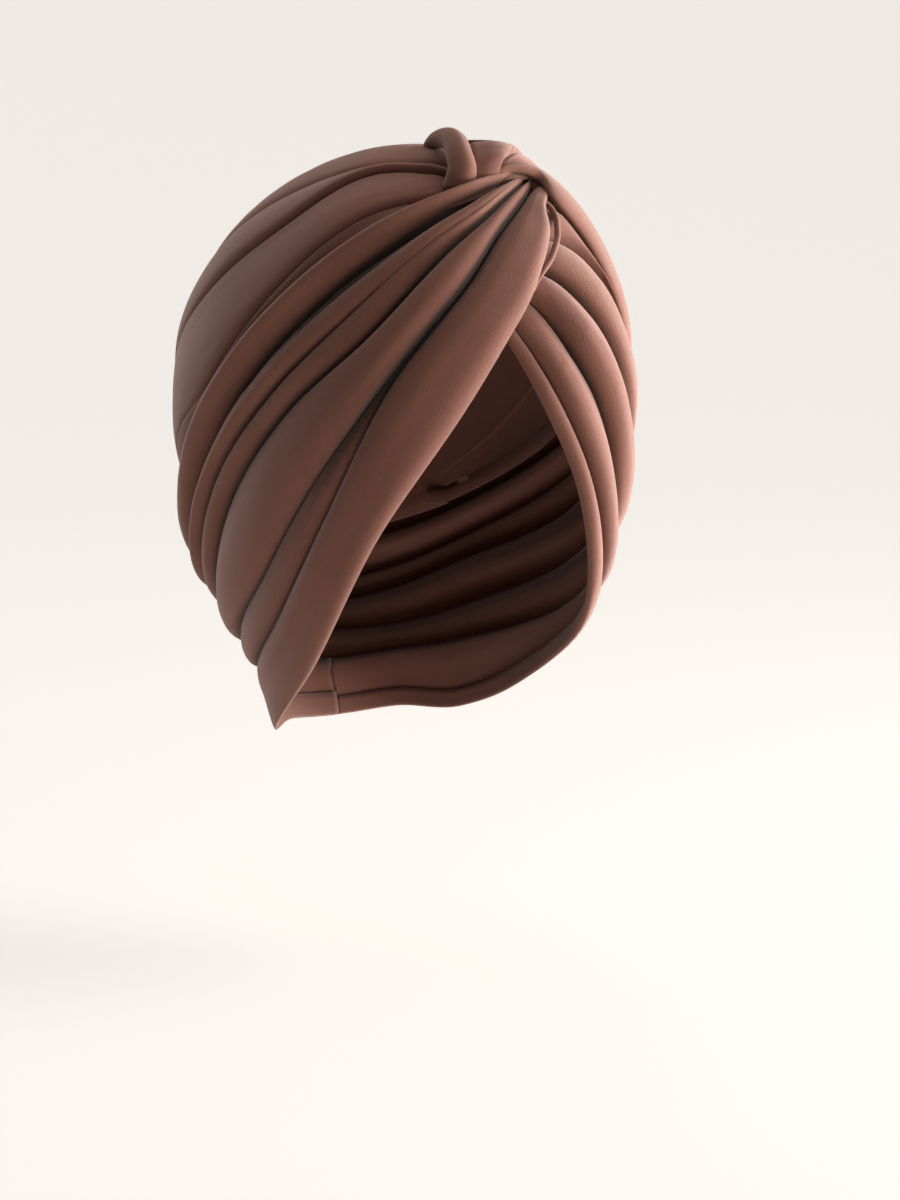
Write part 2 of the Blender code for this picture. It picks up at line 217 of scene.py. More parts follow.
@dataclass(frozen=True)
class Edge:
    """A finish for a sheet's long edge.

    Attributes:
        kind: Rolled under, or tucked flat below the neighbour.
        radius: Radius of the roll, in millimetres.
        width: How far the cloth goes on past the roll or edge, in millimetres.
        drop: How far it falls toward the head over that width, in millimetres.
        columns: Columns of the mesh in the roll.
        end_width: How wide a tucked edge is at the back, if not as at the front.
    """

    kind: EdgeKind
    radius: float = 1.0
    width: float = 6.0
    drop: float = 0.0
    columns: int = 5
    end_width: float | None = None


STAGES = (0.0, 0.2, 0.6, 1.0)
# Reach, threshold and full depth of the crease measure that sets the painted shade in the creases, in
# millimetres.
CREVICE_REACH = 16.0
CREVICE_START = 0.8
CREVICE_DEPTH = 4.8


def direction_of(longitude: float, latitude: float) -> tuple[float, float, float]:
    """Unit direction of a longitude and latitude, in degrees."""
    around, up = math.radians(longitude), math.radians(latitude)
    level = math.cos(up)
    return -math.sin(around) * level, -math.cos(around) * level, math.sin(up)


def unit_rows(rows: np.ndarray) -> np.ndarray:
    """The rows scaled to length 1 on the last axis."""
    return rows / np.maximum(np.linalg.norm(rows, axis=-1, keepdims=True), 1e-12)


def smooth_curve(knots: np.ndarray, values: np.ndarray, along: np.ndarray) -> np.ndarray:
    """Values on a curve through the knots that has no corners.

    Args:
        knots: Growing places of the values.
        values: One row for each knot.
        along: Where the curve is wanted.

    Returns:
        One row for each place along.
    """
    steps = np.diff(knots)[:, None]
    slopes = np.diff(values, axis=0) / steps
    tangents = np.empty_like(values)
    tangents[0], tangents[-1] = slopes[0], slopes[-1]
    tangents[1:-1] = (slopes[:-1] * steps[1:] + slopes[1:] * steps[:-1]) / (steps[:-1] + steps[1:])
    i = np.clip(np.searchsorted(knots, along, side="right") - 1, 0, len(knots) - 2)
    span = steps[i]
    t = (along - knots[i])[:, None] / span
    return (
        (2 * t**3 - 3 * t**2 + 1) * values[i]
        + (t**3 - 2 * t**2 + t) * span * tangents[i]
        + (3 * t**2 - 2 * t**3) * values[i + 1]
        + (t**3 - t**2) * span * tangents[i + 1]
    )


def crease_line(
    crease: Crease, places: dict[str, float], along: np.ndarray, hem: np.ndarray | None = None
) -> np.ndarray:
    """Unit directions and lifts of a crease at each place along it.

    Args:
        crease: The crease.
        places: How far along the sheet each named place lies.
        along: Where the line is wanted, from 0 to 1.
        hem: A last row that the line ends on, if it ends on another sheet's edge.

    Returns:
        Rows of x, y, z and lift.
    """
    stops = list(crease.stops.values())
    knots = [places[place] for place in crease.stops]
    if abs(stops[-1][0]) == 180:
        longitude, latitude, lift = stops[-2]
        stops.append((-longitude, latitude, lift))
        knots.append(2 * knots[-1] - knots[-2])
    rows = np.array([(*direction_of(stop[0], stop[1]), stop[2]) for stop in stops])
    if hem is not None:
        rows = np.concatenate((rows, hem[None]))
        knots.append(1.0)
    steps = np.linalg.norm(np.diff(rows[:, :3], axis=0), axis=1)
    lengths = np.concatenate(((0.0,), np.cumsum(steps)))
    line = smooth_curve(lengths, rows, np.interp(along, knots, lengths))
    line[:, :3] = unit_rows(line[:, :3])
    return line


def lowered(line: np.ndarray, drop: float | np.ndarray) -> np.ndarray:
    """The same line with its lift less by drop millimetres."""
    lower = line.copy()
    lower[:, 3] -= drop
    return lower


def placed(lines: np.ndarray) -> np.ndarray:
    """Points in metres of directions and lifts."""
    unit = unit_rows(lines[..., :3])
    radius = HEAD.radius(unit) + lines[..., 3] * MM
    return HEAD.centre + unit * radius[..., None]


def away_from(edge: np.ndarray, inner: np.ndarray, lean: float = 0.0) -> tuple[np.ndarray, np.ndarray]:
    """Directions square to an edge of a sheet.

    Args:
        edge: Points along the edge.
        inner: Points of the sheet beside them.
        lean: How far the directions follow the sheet instead of the head, from 0 to 1.

    Returns:
        Unit vectors away from the sheet, and unit vectors away from the head.
    """
    outward = unit_rows(edge - HEAD.centre)
    forward = unit_rows(np.gradient(edge, axis=0))
    away = unit_rows(np.cross(forward, outward))
    away *= np.sign(((edge - inner) * away).sum())
    back = edge - inner
    back = back - forward * (back * forward).sum(axis=1, keepdims=True)
    sure = lean * np.clip(np.linalg.norm(back, axis=1, keepdims=True) / (8 * MM), 0, 1)
    away = unit_rows(away * (1 - sure) + unit_rows(back) * sure)
    normal = np.cross(forward, away)
    return away, normal * np.sign((normal * outward).sum(axis=1, keepdims=True))


def ripple(points: np.ndarray, stretch: tuple[float, float], seed: float) -> np.ndarray:
    """Soft unevenness of the cloth, drawn out along its folds.

    Args:
        points: Distances along and across the cloth, in metres, on the last axis.
        stretch: Waves per metre along and across.
        seed: Shifts the pattern, so that no two sheets are alike.

    Returns:
        Heights from -1 to 1.
    """
    flat = points.reshape(-1, 2)
    heights = [
        noise.noise(Vector((a * stretch[0] + seed, b * stretch[1] - seed, seed))) for a, b in flat.tolist()
    ]
    return np.array(heights).reshape(points.shape[:-1])


@dataclass
class FoldedSheet:
    """One sheet of cloth, with creases along it, folds between them and finished edges.

    Attributes:
        name: Name of the piece.
        node: The frame's node that it stands for.
        places: How far along the sheet each named place lies, from 0 to 1.
        creases: Its creases, from one long edge to the other.
        folds: The folds between them.
        crinkles: Soft lines in the folds.
        first_edge: Finish of the edge at the first crease.
        last_edge: Finish of the edge at the last crease.
        rows: Rows of the mesh along the sheet.
        flat: Width and length of the cloth before it was sewn and gathered, in metres; not used.
        trims: Names of the pieces that are sewn to it; not used.
        turn: Which way its columns run.
        thickness: Thickness of the cloth, in millimetres.
        unevenness: Height of its ripples, in millimetres.
        packing: Power that packs the rows toward the twist.
        dive: How far the cloth dips where it goes under another at its start, in millimetres, and
            over which share of its length.
        seed: Shifts its ripples.
    """

    name: str
    node: str
    places: dict[str, float]
    creases: tuple[Crease, ...]
    folds: tuple[Fold, ...]
    crinkles: tuple[Crinkle, ...] = ()
    first_edge: Edge = Edge(EdgeKind.ROLLED)
    last_edge: Edge = Edge(EdgeKind.ROLLED)
    rows: int = 200
    flat: tuple[float, float] = (0.2, 0.4)
    trims: tuple[str, ...] = ()
    turn: Turn = Turn.AS_BUILT
    thickness: float = 1.1
    unevenness: float = 0.25
    packing: float = 1.0
    dive: tuple[float, float] = (0.0, 0.01)
    seed: float = 0.0

    def along(self) -> np.ndarray:
        """Where the rows lie along the sheet, from 0 to 1."""
        return np.linspace(0.0, 1.0, self.rows) ** self.packing

    def lines(self, along: np.ndarray) -> list[np.ndarray]:
        """The sheet's crease lines, from one long edge to the other."""
        return [crease_line(crease, self.places, along) for crease in self.creases]

    def notches(self) -> list[tuple[Stages, float]]:
        """Depth and half width of each crease's cleft."""
        return [(crease.notch, crease.width) for crease in self.creases]

    def fold_columns(
        self,
        number: int,
        first: np.ndarray,
        second: np.ndarray,
        along: np.ndarray,
        clefts: tuple[tuple[Stages, float], tuple[Stages, float]],
    ) -> list[np.ndarray]:
        """Columns of one fold.

        Args:
            number: The fold's number.
            first: Line of the crease where it starts.
            second: Line of the crease where it ends.
            along: Where the rows lie.
            clefts: Depth and half width of the clefts at both creases.

        Returns:
            The columns as directions and lifts.
        """
        fold = self.folds[number]
        height = np.interp(along, STAGES, fold.height)
        gap = np.linalg.norm(placed(second) - placed(first), axis=1) / MM
        columns = []
        for share in 0.5 - 0.5 * np.cos(np.linspace(0, math.pi, fold.columns, endpoint=False)):
            crest = fold.swell(share, along)
            shifted = (share + fold.lean * crest)[:, None]
            line = first * (1 - shifted) + second * shifted
            reached = fold.slope(share, along)
            lift = first[:, 3] * (1 - reached) + second[:, 3] * reached + height * crest
            cleft = np.zeros_like(along)
            for (notch, width), distance in zip(clefts, (share * gap, (1 - share) * gap)):
                cleft += np.interp(along, STAGES, notch) * np.exp(-((distance / width) ** 2))
            for crinkle in (c for c in self.crinkles if c.fold == number):
                reach = (along - crinkle.start[0]) / (crinkle.end[0] - crinkle.start[0])
                middle = crinkle.start[1] + (crinkle.end[1] - crinkle.start[1]) * reach
                fade = np.sin(math.pi * np.clip(reach, 0, 1)) ** 0.5
                shape = np.exp(-(((share - middle) * gap / crinkle.width) ** 2))
                lift = lift + crinkle.height * fade * shape
            line[:, 3] = lift - cleft
            columns.append(line)
        return columns

    def surface(self) -> tuple[np.ndarray, np.ndarray]:
        """The sheet's points, one row for each place along it, and how deep in a crease each lies."""
        along = self.along()
        dip, reach = self.dive
        level = 1 - np.clip(along / reach, 0, 1)
        lines = [lowered(line, dip * (1 - np.sqrt(1 - level**2))) for line in self.lines(along)]
        notches = self.notches()
        columns = []
        for number, (first, second) in enumerate(zip(lines, lines[1:])):
            clefts = (notches[number], notches[number + 1])
            columns += self.fold_columns(number, first, second, along, clefts)
        last = lines[-1].copy()
        last[:, 3] -= np.interp(along, STAGES, notches[-1][0])
        grid = np.stack((*columns, last), axis=1)
        points = self.uneven(placed(grid))
        return self.finished(points, self.crevices(points, grid[..., 3]))

    def crevices(self, points: np.ndarray, lifts: np.ndarray) -> np.ndarray:
        """How far each point lies below the folds on both sides of it.

        Args:
            points: The sheet's points.
            lifts: Their heights over the hollow, in millimetres.

        Returns:
            Depths from 0 on a crest to 1 in a deep crease, by which the knit darkens the colour as painted
            shade.
        """
        across = self.measured(points)[..., 1] / MM
        walls = []
        for side in (1, -1):
            place, height = across[:, ::side], lifts[:, ::side]
            wall = height.copy()
            for step in range(1, 60):
                near = np.abs(place[:, step:] - place[:, :-step]) < CREVICE_REACH
                higher = np.where(near, height[:, :-step], -np.inf)
                wall[:, step:] = np.maximum(wall[:, step:], higher)
            walls.append(wall[:, ::side])
        return np.clip((np.minimum(*walls) - lifts - CREVICE_START) / CREVICE_DEPTH, 0, 1)

    def measured(self, points: np.ndarray) -> np.ndarray:
        """Distances along and across the cloth at each point, in metres."""
        steps = np.linalg.norm(np.diff(points, axis=0), axis=2)
        across = np.linalg.norm(np.diff(points, axis=1), axis=2)
        u = np.concatenate((np.zeros((1, points.shape[1])), np.cumsum(steps, axis=0)))
        v = np.concatenate((np.zeros((points.shape[0], 1)), np.cumsum(across, axis=1)), axis=1)
        return np.stack((u, v), axis=-1)

    def uneven(self, points: np.ndarray) -> np.ndarray:
        """The points moved out or in by the ripples of the cloth, which fade at the edges."""
        distances = self.measured(points)
        heights = ripple(distances, (11.0, 70.0), self.seed) + 0.5 * ripple(
            distances, (30.0, 190.0), self.seed + 5
        )
        width = distances[:, -1:, 1]
        fade = np.minimum(distances[..., 1], width - distances[..., 1]) / 0.006
        heights *= np.clip(fade, 0, 1) * self.unevenness * MM
        return points + unit_rows(points - HEAD.centre) * heights[..., None]

    def finished(self, points: np.ndarray, depth: np.ndarray) -> tuple[np.ndarray, np.ndarray]:
        """The points with the finish of both long edges added."""
        first, last = self.folds[0].columns, self.folds[-1].columns
        before = self.edge_columns(self.first_edge, points[:, 0], points[:, first])
        after = self.edge_columns(self.last_edge, points[:, -1], points[:, -1 - last])
        points = np.concatenate((before[:, ::-1], points, after), axis=1)
        # Edge columns get a fixed crease depth of 0.3, so the knit paints them a little darker: painted shade
        # at the rolled and tucked edges.
        pad = ((0, 0), (before.shape[1], after.shape[1]))
        return points, np.pad(depth, pad, constant_values=0.3)

    def edge_columns(self, edge: Edge, line: np.ndarray, inner: np.ndarray) -> np.ndarray:
        """Columns that finish a long edge, going outward from it.

        Args:
            edge: The finish.
            line: Points along the edge.
            inner: Points of the sheet beside them.

        Returns:
            Points, one row for each row of the sheet.
        """
        away, outward = away_from(line, inner, 1.0 if edge.kind is EdgeKind.ROLLED else 0.0)
        if edge.kind is EdgeKind.TUCKED:
            shares = np.array((0.4, 1.0))
            end_width = edge.width if edge.end_width is None else edge.end_width
            widths = np.interp(self.along(), (0.70, 0.85), (edge.width, end_width))
            sideways, down = shares * widths[:, None], shares * edge.drop
        else:
            angles = np.linspace(0, math.pi / 2, edge.columns + 1)[1:]
            run = np.array((0.3, 0.65, 1.0))
            sideways = np.concatenate((edge.radius * (np.cos(angles) - 1), -edge.radius - run * edge.width))
            sideways = np.broadcast_to(sideways, (len(line), len(sideways)))
            down = np.concatenate((edge.radius * np.sin(angles), edge.radius + run * edge.drop))
        return (
            line[:, None]
            + away[:, None] * (sideways * MM)[..., None]
            - outward[:, None] * (down * MM)[None, :, None]
        )

    def build(self) -> bpy.types.Object:
        """The sheet as an object, with its thickness as a modifier."""
        points, depth = self.surface()
        distances = self.measured(points)
        rows, columns = points.shape[:2]
        form = bmesh.new()
        grid = bmesh.ops.create_grid(form, x_segments=columns - 1, y_segments=rows - 1, size=1.0)
        corners = sorted(grid["verts"], key=lambda v: (round(v.co.y, 6), round(v.co.x, 6)))
        form.verts.index_update()
        order = np.array([corner.index for corner in corners])
        for corner, place in zip(corners, points.reshape(-1, 3)):
            corner.co = place
        if self.turn is Turn.REVERSED:
            bmesh.ops.reverse_faces(form, faces=form.faces)
        mesh = bpy.data.meshes.new(self.name)
        form.to_mesh(mesh)
        form.free()
        mesh.shade_smooth()
        self.write_layers(mesh, order, distances.reshape(-1, 2), depth.reshape(-1))
        sheet = bpy.data.objects.new(self.name, mesh)
        bpy.context.scene.collection.objects.link(sheet)
        wall = sheet.modifiers.new("cloth_thickness", "SOLIDIFY")
        wall.thickness = self.thickness * MM
        wall.offset = -1.0
        wall.use_even_offset = False
        return sheet

    @staticmethod
    def write_layers(
        mesh: bpy.types.Mesh, order: np.ndarray, distances: np.ndarray, depth: np.ndarray
    ) -> None:
        """Writes the cloth's distances as its UV map and the depth in the creases as an attribute."""
        flat = np.empty_like(distances)
        flat[order] = distances
        deep = np.empty_like(depth)
        deep[order] = depth
        corners = np.empty(len(mesh.loops), np.int32)
        mesh.loops.foreach_get("vertex_index", corners)
        mesh.uv_layers.new(name="cloth").data.foreach_set("uv", flat[corners].astype(np.float32).ravel())
        # The knit darkens the colour by this depth: painted shade in the creases.
        layer = mesh.attributes.new("crease_depth", "FLOAT", "POINT")
        layer.data.foreach_set("value", deep.astype(np.float32))


RIGHT_PLACES = dict(
    knot=0.0, tip=0.02, lip=0.045, bend=0.07, rim=0.095, turn=0.118, brow=0.14, apex=0.20,
    temple=0.32, cheek=0.52, jaw=0.70, neck=0.88, collar=0.94, nape=1.0)
RIGHT_CREASES = (
    Crease("face_edge", dict(
        knot=(-33, 54.6, 14.6), tip=(-27, 51.8, 14.3), lip=(-18.5, 47.7, 14), bend=(-14.8, 42.3, 13.3),
        rim=(-10.5, 38, 12.6), turn=(-6, 33.5, 11.8), brow=(0.1, 26.2, 10.5),
        apex=(7.9, 17, 8), temple=(20, -1, 4), cheek=(42, -31, 4), jaw=(70, -58.5, 4),
        neck=(121, -68.3, 8), collar=(150, -68.4, 8), nape=(180, -68.8, 8))),
    Crease("band_crease", dict(
        knot=(-34.5, 57.2, 13), lip=(-11.4, 50.8, 10.6), rim=(3, 43.5, 9.2), brow=(15, 32.5, 8.6),
        temple=(38.7, 5.6, 7.6), cheek=(57, -27, 8), jaw=(79, -49, 7), neck=(124, -61, 6),
        collar=(152, -62, 6), nape=(180, -63, 6)),
        notch=(0.3, 1.0, 1.6, 1.0)),
    Crease("temple_crease", dict(
        knot=(-35, 57.6, 13), lip=(-11, 51.2, 10.6), rim=(3.5, 43.9, 9.2), brow=(15.8, 33, 8.3),
        temple=(40, 7, 7), cheek=(62, -21, 7), jaw=(84, -42, 7), neck=(127, -55, 6), nape=(180, -57, 6)),
        notch=(1.5, 3.0, 2.0, 1.5), width=1.6),
    Crease("ear_crease", dict(
        knot=(-34, 59, 13), lip=(-7, 53.6, 11.2), rim=(8, 47.2, 10.4), brow=(21, 39.8, 10),
        temple=(44.5, 18.5, 9), cheek=(68, 0, 6.5), jaw=(92, -21.5, 6.5),
        neck=(130, -46, 7), nape=(180, -51, 7)),
        notch=(1.5, 3.0, 2.5, 1.5), width=1.1),
    Crease("slit_crease", dict(
        knot=(-32.5, 59.3, 15.4), lip=(-5, 54.2, 16.4), rim=(10, 48.4, 16), brow=(26, 41, 14.2),
        temple=(50, 24, 10), cheek=(74, 4, 9), jaw=(98, -17, 10), neck=(131, -40, 11), nape=(180, -46, 10)),
        notch=(0.0, 0.8, 2.5, 2.0), width=1.3),
    Crease("deep_crease", dict(
        knot=(-31, 59.7, 12.6), lip=(-3, 56.9, 9.5), rim=(13, 53, 6.6), brow=(31, 46.2, 5.4),
        temple=(58, 31, 4.5), cheek=(84, 8, 5), jaw=(106, -15, 7), neck=(131, -35, 10), nape=(180, -41, 10)),
        notch=(0.5, 1.5, 1.5, 1.5), width=2.2),
    Crease("right_edge", dict(
        knot=(-26.5, 60.4, 13.4), tip=(-9, 59.1, 15), lip=(2, 57.8, 15.2), rim=(17, 54.6, 14.4),
        brow=(34, 50, 13), temple=(66, 33, 12), cheek=(93, 9, 13), jaw=(113, -10, 14), neck=(132, -26, 14), nape=(180, -32, 13))),
)


@dataclass
class RightWrap(FoldedSheet):
    """The fan of folds on the wearer's right, with the smooth band along the face."""

    name: str = "right_wrap_cloth"
    node: str = "right_wrap"
    places: dict[str, float] = field(default_factory=lambda: RIGHT_PLACES)
    creases: tuple[Crease, ...] = RIGHT_CREASES
    folds: tuple[Fold, ...] = (
        Fold((3.6, 6.5, 6.5, 4.0), soft=(0.1, 0.1), spread=1.5, columns=26),
        Fold((0.0, 0.3, 2.0, 6.0), columns=10),
        Fold((3.6, 7.0, 8.0, 6.0), peak=(0.5, 0.45, 0.45, 0.5), soft=(0.2, 0.4), columns=22),
        Fold((0.3, 0.8, 5.0, 5.0), soft=(0.3, 0.4), soft_start=(0.0, 1.0), shoulder=1),
        Fold((0.3, 2.0, 8.5, 7.0), peak=(0.5, 0.4, 0.4, 0.5), soft=(0.2, 0.5), soft_start=(1.0, 0.0),
             shoulder=-1, columns=26),
        Fold((3.0, 8.0, 8.5, 6.5), peak=(0.4, 0.5, 0.6, 0.55), soft=(0.3, 0.1), lean=-0.12, columns=28),
    )
    crinkles: tuple[Crinkle, ...] = (
        Crinkle(5, (0.10, 0.30), (0.50, 0.42), -0.9, 1.6),
        Crinkle(2, (0.22, 0.70), (0.60, 0.55), -0.7, 1.6),
        Crinkle(4, (0.30, 0.45), (0.75, 0.50), -0.8, 2.0),
        Crinkle(0, (0.40, 0.72), (0.85, 0.60), -0.6, 2.5),
        Crinkle(4, (0.08, 0.72), (0.55, 0.66), -2.0, 2.6),
    )
    first_edge: Edge = Edge(EdgeKind.ROLLED, radius=1.3, width=9.0)
    last_edge: Edge = Edge(EdgeKind.ROLLED, radius=0.9, width=2.0)
    flat: tuple[float, float] = (0.19, 0.34)
    trims: tuple[str, ...] = ("band_rim_cloth",)
    rows: int = 240
    packing: float = 1.3
    dive: tuple[float, float] = (5.0, 0.010)
    seed: float = 1.7


LEFT_PLACES = dict(
    under=0.0, cross=0.07, brow=0.20, temple=0.36, side=0.52, ear=0.70, back=0.86, collar=0.93,
    nape=1.0)
LEFT_CREASES = (
    Crease("left_face_edge", dict(
        under=(14, 27, 3), cross=(7, 18, 3), brow=(-2, 3, 3.5), temple=(-17, -20, 3.5),
        side=(-35, -44, 3.5), ear=(-68, -61, 4), back=(-121, -68.3, 8), collar=(-150, -68.4, 8),
        nape=(-180, -68.8, 8))),
    Crease("left_band_crease", dict(
        under=(11, 30, 3), cross=(4, 21, 3.5), brow=(-5, 7, 4.5), temple=(-20, -15, 5),
        side=(-38, -37, 5.5), ear=(-72, -53, 6), back=(-124, -61, 6), collar=(-152, -62, 6),
        nape=(-180, -63, 6)),
        notch=(0.3, 1.0, 1.0, 0.5)),
    Crease("left_temple_crease", dict(
        under=(8, 33, 3), cross=(-3, 27, 4), brow=(-13, 14, 5), temple=(-26, -3, 5.5),
        side=(-42, -26, 6.5), ear=(-76, -45, 6.5), back=(-127, -55, 6), nape=(-180, -57, 6)),
        notch=(0.3, 1.5, 1.5, 0.8)),
    Crease("left_ear_crease", dict(
        under=(5, 38, 4), cross=(-10, 34, 5.5), brow=(-22, 24, 8), temple=(-35, 7, 9.5),
        side=(-51, -12, 10.5), ear=(-81, -34, 9), back=(-130, -46, 7), nape=(-180, -51, 7)),
        notch=(2.5, 3.5, 3.0, 1.0), width=1.8),
    Crease("left_slit_crease", dict(
        under=(0, 43, 6), cross=(-24, 41.7, 8), brow=(-38, 32.5, 10), temple=(-48, 12, 11.5),
        side=(-60, -7, 12), ear=(-86, -25, 12), back=(-130, -40, 11), nape=(-180, -46, 10)),
        notch=(2.5, 3.5, 2.5, 1.0), width=1.6),
)
FOLD_PLACES = dict(
    tip=0.0, start=0.03, arch=0.07, bend=0.095, turn=0.12, brow=0.22, temple=0.38, side=0.54,
    ear=0.72, back=0.87, nape=1.0)
FOLD_CREASES = (
    Crease("fold_front", dict(
        tip=(-2, 57, 10), start=(-7, 58.7, 15), arch=(-21.5, 57.9, 18.3),
        bend=(-26.8, 55.8, 18.4), turn=(-24.8, 51.3, 18), brow=(-34, 41.5, 15),
        temple=(-49, 17, 13.5), side=(-63, -2, 13.5), ear=(-90, -19, 13), back=(-131, -35, 12),
        nape=(-180, -41, 10))),
    Crease("fold_back", dict(
        tip=(-1.6, 57.5, 10), start=(-5.8, 59.7, 15.4), arch=(-21, 60.2, 19.3),
        bend=(-29.5, 60, 19.7), turn=(-37, 56.5, 19.5), brow=(-50, 44, 17),
        temple=(-62, 24, 15), side=(-77, 5, 14.5), ear=(-99, -11, 14), back=(-132, -26, 14),
        nape=(-180, -32, 13))),
)
TUCK_DROP = 2.15
FOLD_REACH = 0.12
UNDER_FAN_DROP = 3.0
UNDER_FAN_REACH = 0.05


@dataclass
class LeftWrap(FoldedSheet):
    """The folds on the wearer's left, which come out from under the fan."""

    name: str = "left_wrap_cloth"
    node: str = "left_wrap"
    places: dict[str, float] = field(default_factory=lambda: LEFT_PLACES)
    creases: tuple[Crease, ...] = LEFT_CREASES
    folds: tuple[Fold, ...] = (
        Fold((0.3, 3.0, 4.0, 4.0), soft=(0.1, 0.4), columns=16),
        Fold((0.3, 5.5, 6.5, 6.0), peak=(0.4, 0.38, 0.4, 0.5), soft=(0.15, 0.6), columns=20),
        Fold((4.0, 7.5, 8.0, 6.0), peak=(0.4, 0.36, 0.4, 0.5), soft=(0.15, 0.6), columns=22),
        Fold((3.0, 5.5, 5.0, 5.0), peak=(0.4, 0.38, 0.4, 0.5), soft=(0.15, 0.6), columns=20),
        Fold((2.0, 3.5, 2.5, 6.0), peak=(0.4, 0.4, 0.4, 0.5), soft=(0.15, 0.5)),
    )
    first_edge: Edge = Edge(EdgeKind.ROLLED, radius=1.0, width=7.0)
    last_edge: Edge = Edge(EdgeKind.TUCKED, width=5.0, drop=1.2)
    flat: tuple[float, float] = (0.17, 0.32)
    turn: Turn = Turn.REVERSED
    rows: int = 220
    seed: float = 4.3

    def lines(self, along: np.ndarray) -> list[np.ndarray]:
        """Its creases, and the edge that lies under the long fold."""
        reach = FOLD_REACH + (1 - FOLD_REACH) * along
        front = crease_line(FOLD_CREASES[0], FOLD_PLACES, reach)
        under = UNDER_FAN_DROP * np.clip(1 - along / UNDER_FAN_REACH, 0, 1)
        return [*super().lines(along), lowered(front, TUCK_DROP + under)]

    def notches(self) -> list[tuple[Stages, float]]:
        """Its creases' clefts, and none at the tucked edge."""
        return [*super().notches(), ((0.0, 0.0, 0.0, 0.0), 1.0)]


@dataclass
class LongFold(FoldedSheet):
    """The rolled fold that arches over the fan's tips and runs down the left side."""

    name: str = "long_fold_cloth"
    node: str = "long_fold"
    places: dict[str, float] = field(default_factory=lambda: FOLD_PLACES)
    creases: tuple[Crease, ...] = FOLD_CREASES
    folds: tuple[Fold, ...] = (Fold((0.8, 3.4, 4.5, 5.0), soft=(0.1, 0.15), columns=26),)
    first_edge: Edge = Edge(EdgeKind.ROLLED, radius=1.0, width=1.0, drop=1.5)
    last_edge: Edge = Edge(EdgeKind.ROLLED, radius=0.9, width=1.0, drop=0.8)
    flat: tuple[float, float] = (0.035, 0.30)
    turn: Turn = Turn.REVERSED
    rows: int = 220
    seed: float = 7.9


CORNER_REACH = 0.88
LEFT_HEM_REACH = (0.92, 0.96, 1.0)
RIGHT_HEM_REACH = (0.91, 0.94, 0.97)
PLEAT_REACH = 0.14
PLEAT_DROP = 2.7
HEM_DROP = 0.8
HEM_TUCK = 9.0
HEM_SLOPE = 1.6
CROWN_START_DROP = 1.5
CROWN_START_REACH = 0.1
CROWN_START = 0.03

PLEAT_PLACES = dict(
    tip=0.0, start=0.02, arch=0.05, turn=0.12, corner=0.20, top=0.32, crest=0.45, back=0.64, low=0.82)
PLEAT_CREASES = (
    Crease("left_crown_front", dict(
        tip=(-1.5, 57.6, 10), start=(-5.4, 60, 15.6), arch=(-17, 61.6, 18.7), turn=(-36, 60, 18),
        corner=(-54, 52.5, 16), top=(-72, 40, 15), crest=(-84, 26, 15), back=(-100, 8, 15),
        low=(-120, -12, 15)),
        notch=(0.8, 1.2, 0.8, 0.0), width=0.9),
    Crease("left_crown_middle", dict(
        tip=(-1.3, 57.7, 10), start=(-5, 60.2, 16), arch=(-16, 62.2, 19.6), turn=(-38, 64.3, 20),
        corner=(-64, 62, 17.5), top=(-88, 57, 14), crest=(-108, 47, 13), back=(-130, 25, 14),
        low=(-146, 0, 16)),
        notch=(0.8, 1.2, 0.8, 0.0), width=0.9),
    Crease("top_pleat", dict(
        tip=(-1, 57.9, 10), start=(-4.6, 60.4, 16), arch=(-14, 62.3, 19), turn=(-36, 66.6, 20.8),
        corner=(-60, 72, 19.6), top=(-110, 79, 14), crest=(-163, 68, 10.5), back=(-174, 38, 13),
        low=(-178, 4, 17))),
)
CROWN_PLACES = dict(
    under=0.0, meet=0.03, bridge=0.06, ring=0.10, gather=0.18, crown=0.32, shoulder=0.49, side=0.66,
    outline=0.84)
CROWN_CREASES = (
    Crease("pin_pleat", dict(
        under=(-9, 59, 12.5), meet=(-6.5, 59.8, 15.5), bridge=(-3, 59.9, 14.5),
        ring=(5, 59.6, 4.5), gather=(22, 57, 6.5),
        crown=(48, 49.5, 11.5), shoulder=(76, 30.5, 12), side=(102, 4, 14), outline=(129, -14, 16)),
        notch=(0.0, 0.6, 0.8, 0.0), width=0.8),
    Crease("crown_ridge", dict(
        under=(-20, 61.8, 12.8), meet=(-15, 63.2, 15.6), bridge=(-10, 64.8, 16),
        ring=(0, 65.4, 7.5), gather=(19, 66.5, 8.5),
        crown=(51, 65.5, 10.5), shoulder=(86, 50, 11), side=(113, 29, 14), outline=(138, 4, 16)),
        notch=(0.0, 0.8, 0.8, 0.0), width=1.2),
    Crease("crown_valley", dict(
        under=(-40, 65, 14), meet=(-31, 67.4, 16.8), bridge=(-22, 70, 17),
        ring=(-9, 71.8, 7.5), gather=(14, 72, 7.5),
        crown=(60, 70, 9.5), shoulder=(108, 60, 9.5), side=(134, 38, 13), outline=(154, 10, 16)),
        notch=(0.0, 1.5, 1.0, 0.0), width=1.6),
)
NO_CLEFT = ((0.0, 0.0, 0.0, 0.0), 1.0)


def left_edge_line(reach: np.ndarray) -> np.ndarray:
    """The long fold's back edge at each reach along it, lowered to where the crown lies under it."""
    return lowered(crease_line(FOLD_CREASES[1], FOLD_PLACES, reach), TUCK_DROP)


def right_edge_line(reach: np.ndarray) -> np.ndarray:
    """The right wrap's back edge at each reach along it, lowered in the same way."""
    return lowered(crease_line(RIGHT_CREASES[-1], RIGHT_PLACES, reach), TUCK_DROP)


def pleat_lines(along: np.ndarray) -> list[np.ndarray]:
    """The left crown's creases, each ending on the long fold's back edge."""
    hems = lowered(left_edge_line(np.array(LEFT_HEM_REACH)), HEM_DROP)
    return [crease_line(crease, PLEAT_PLACES, along, hem) for crease, hem in zip(PLEAT_CREASES, hems)]


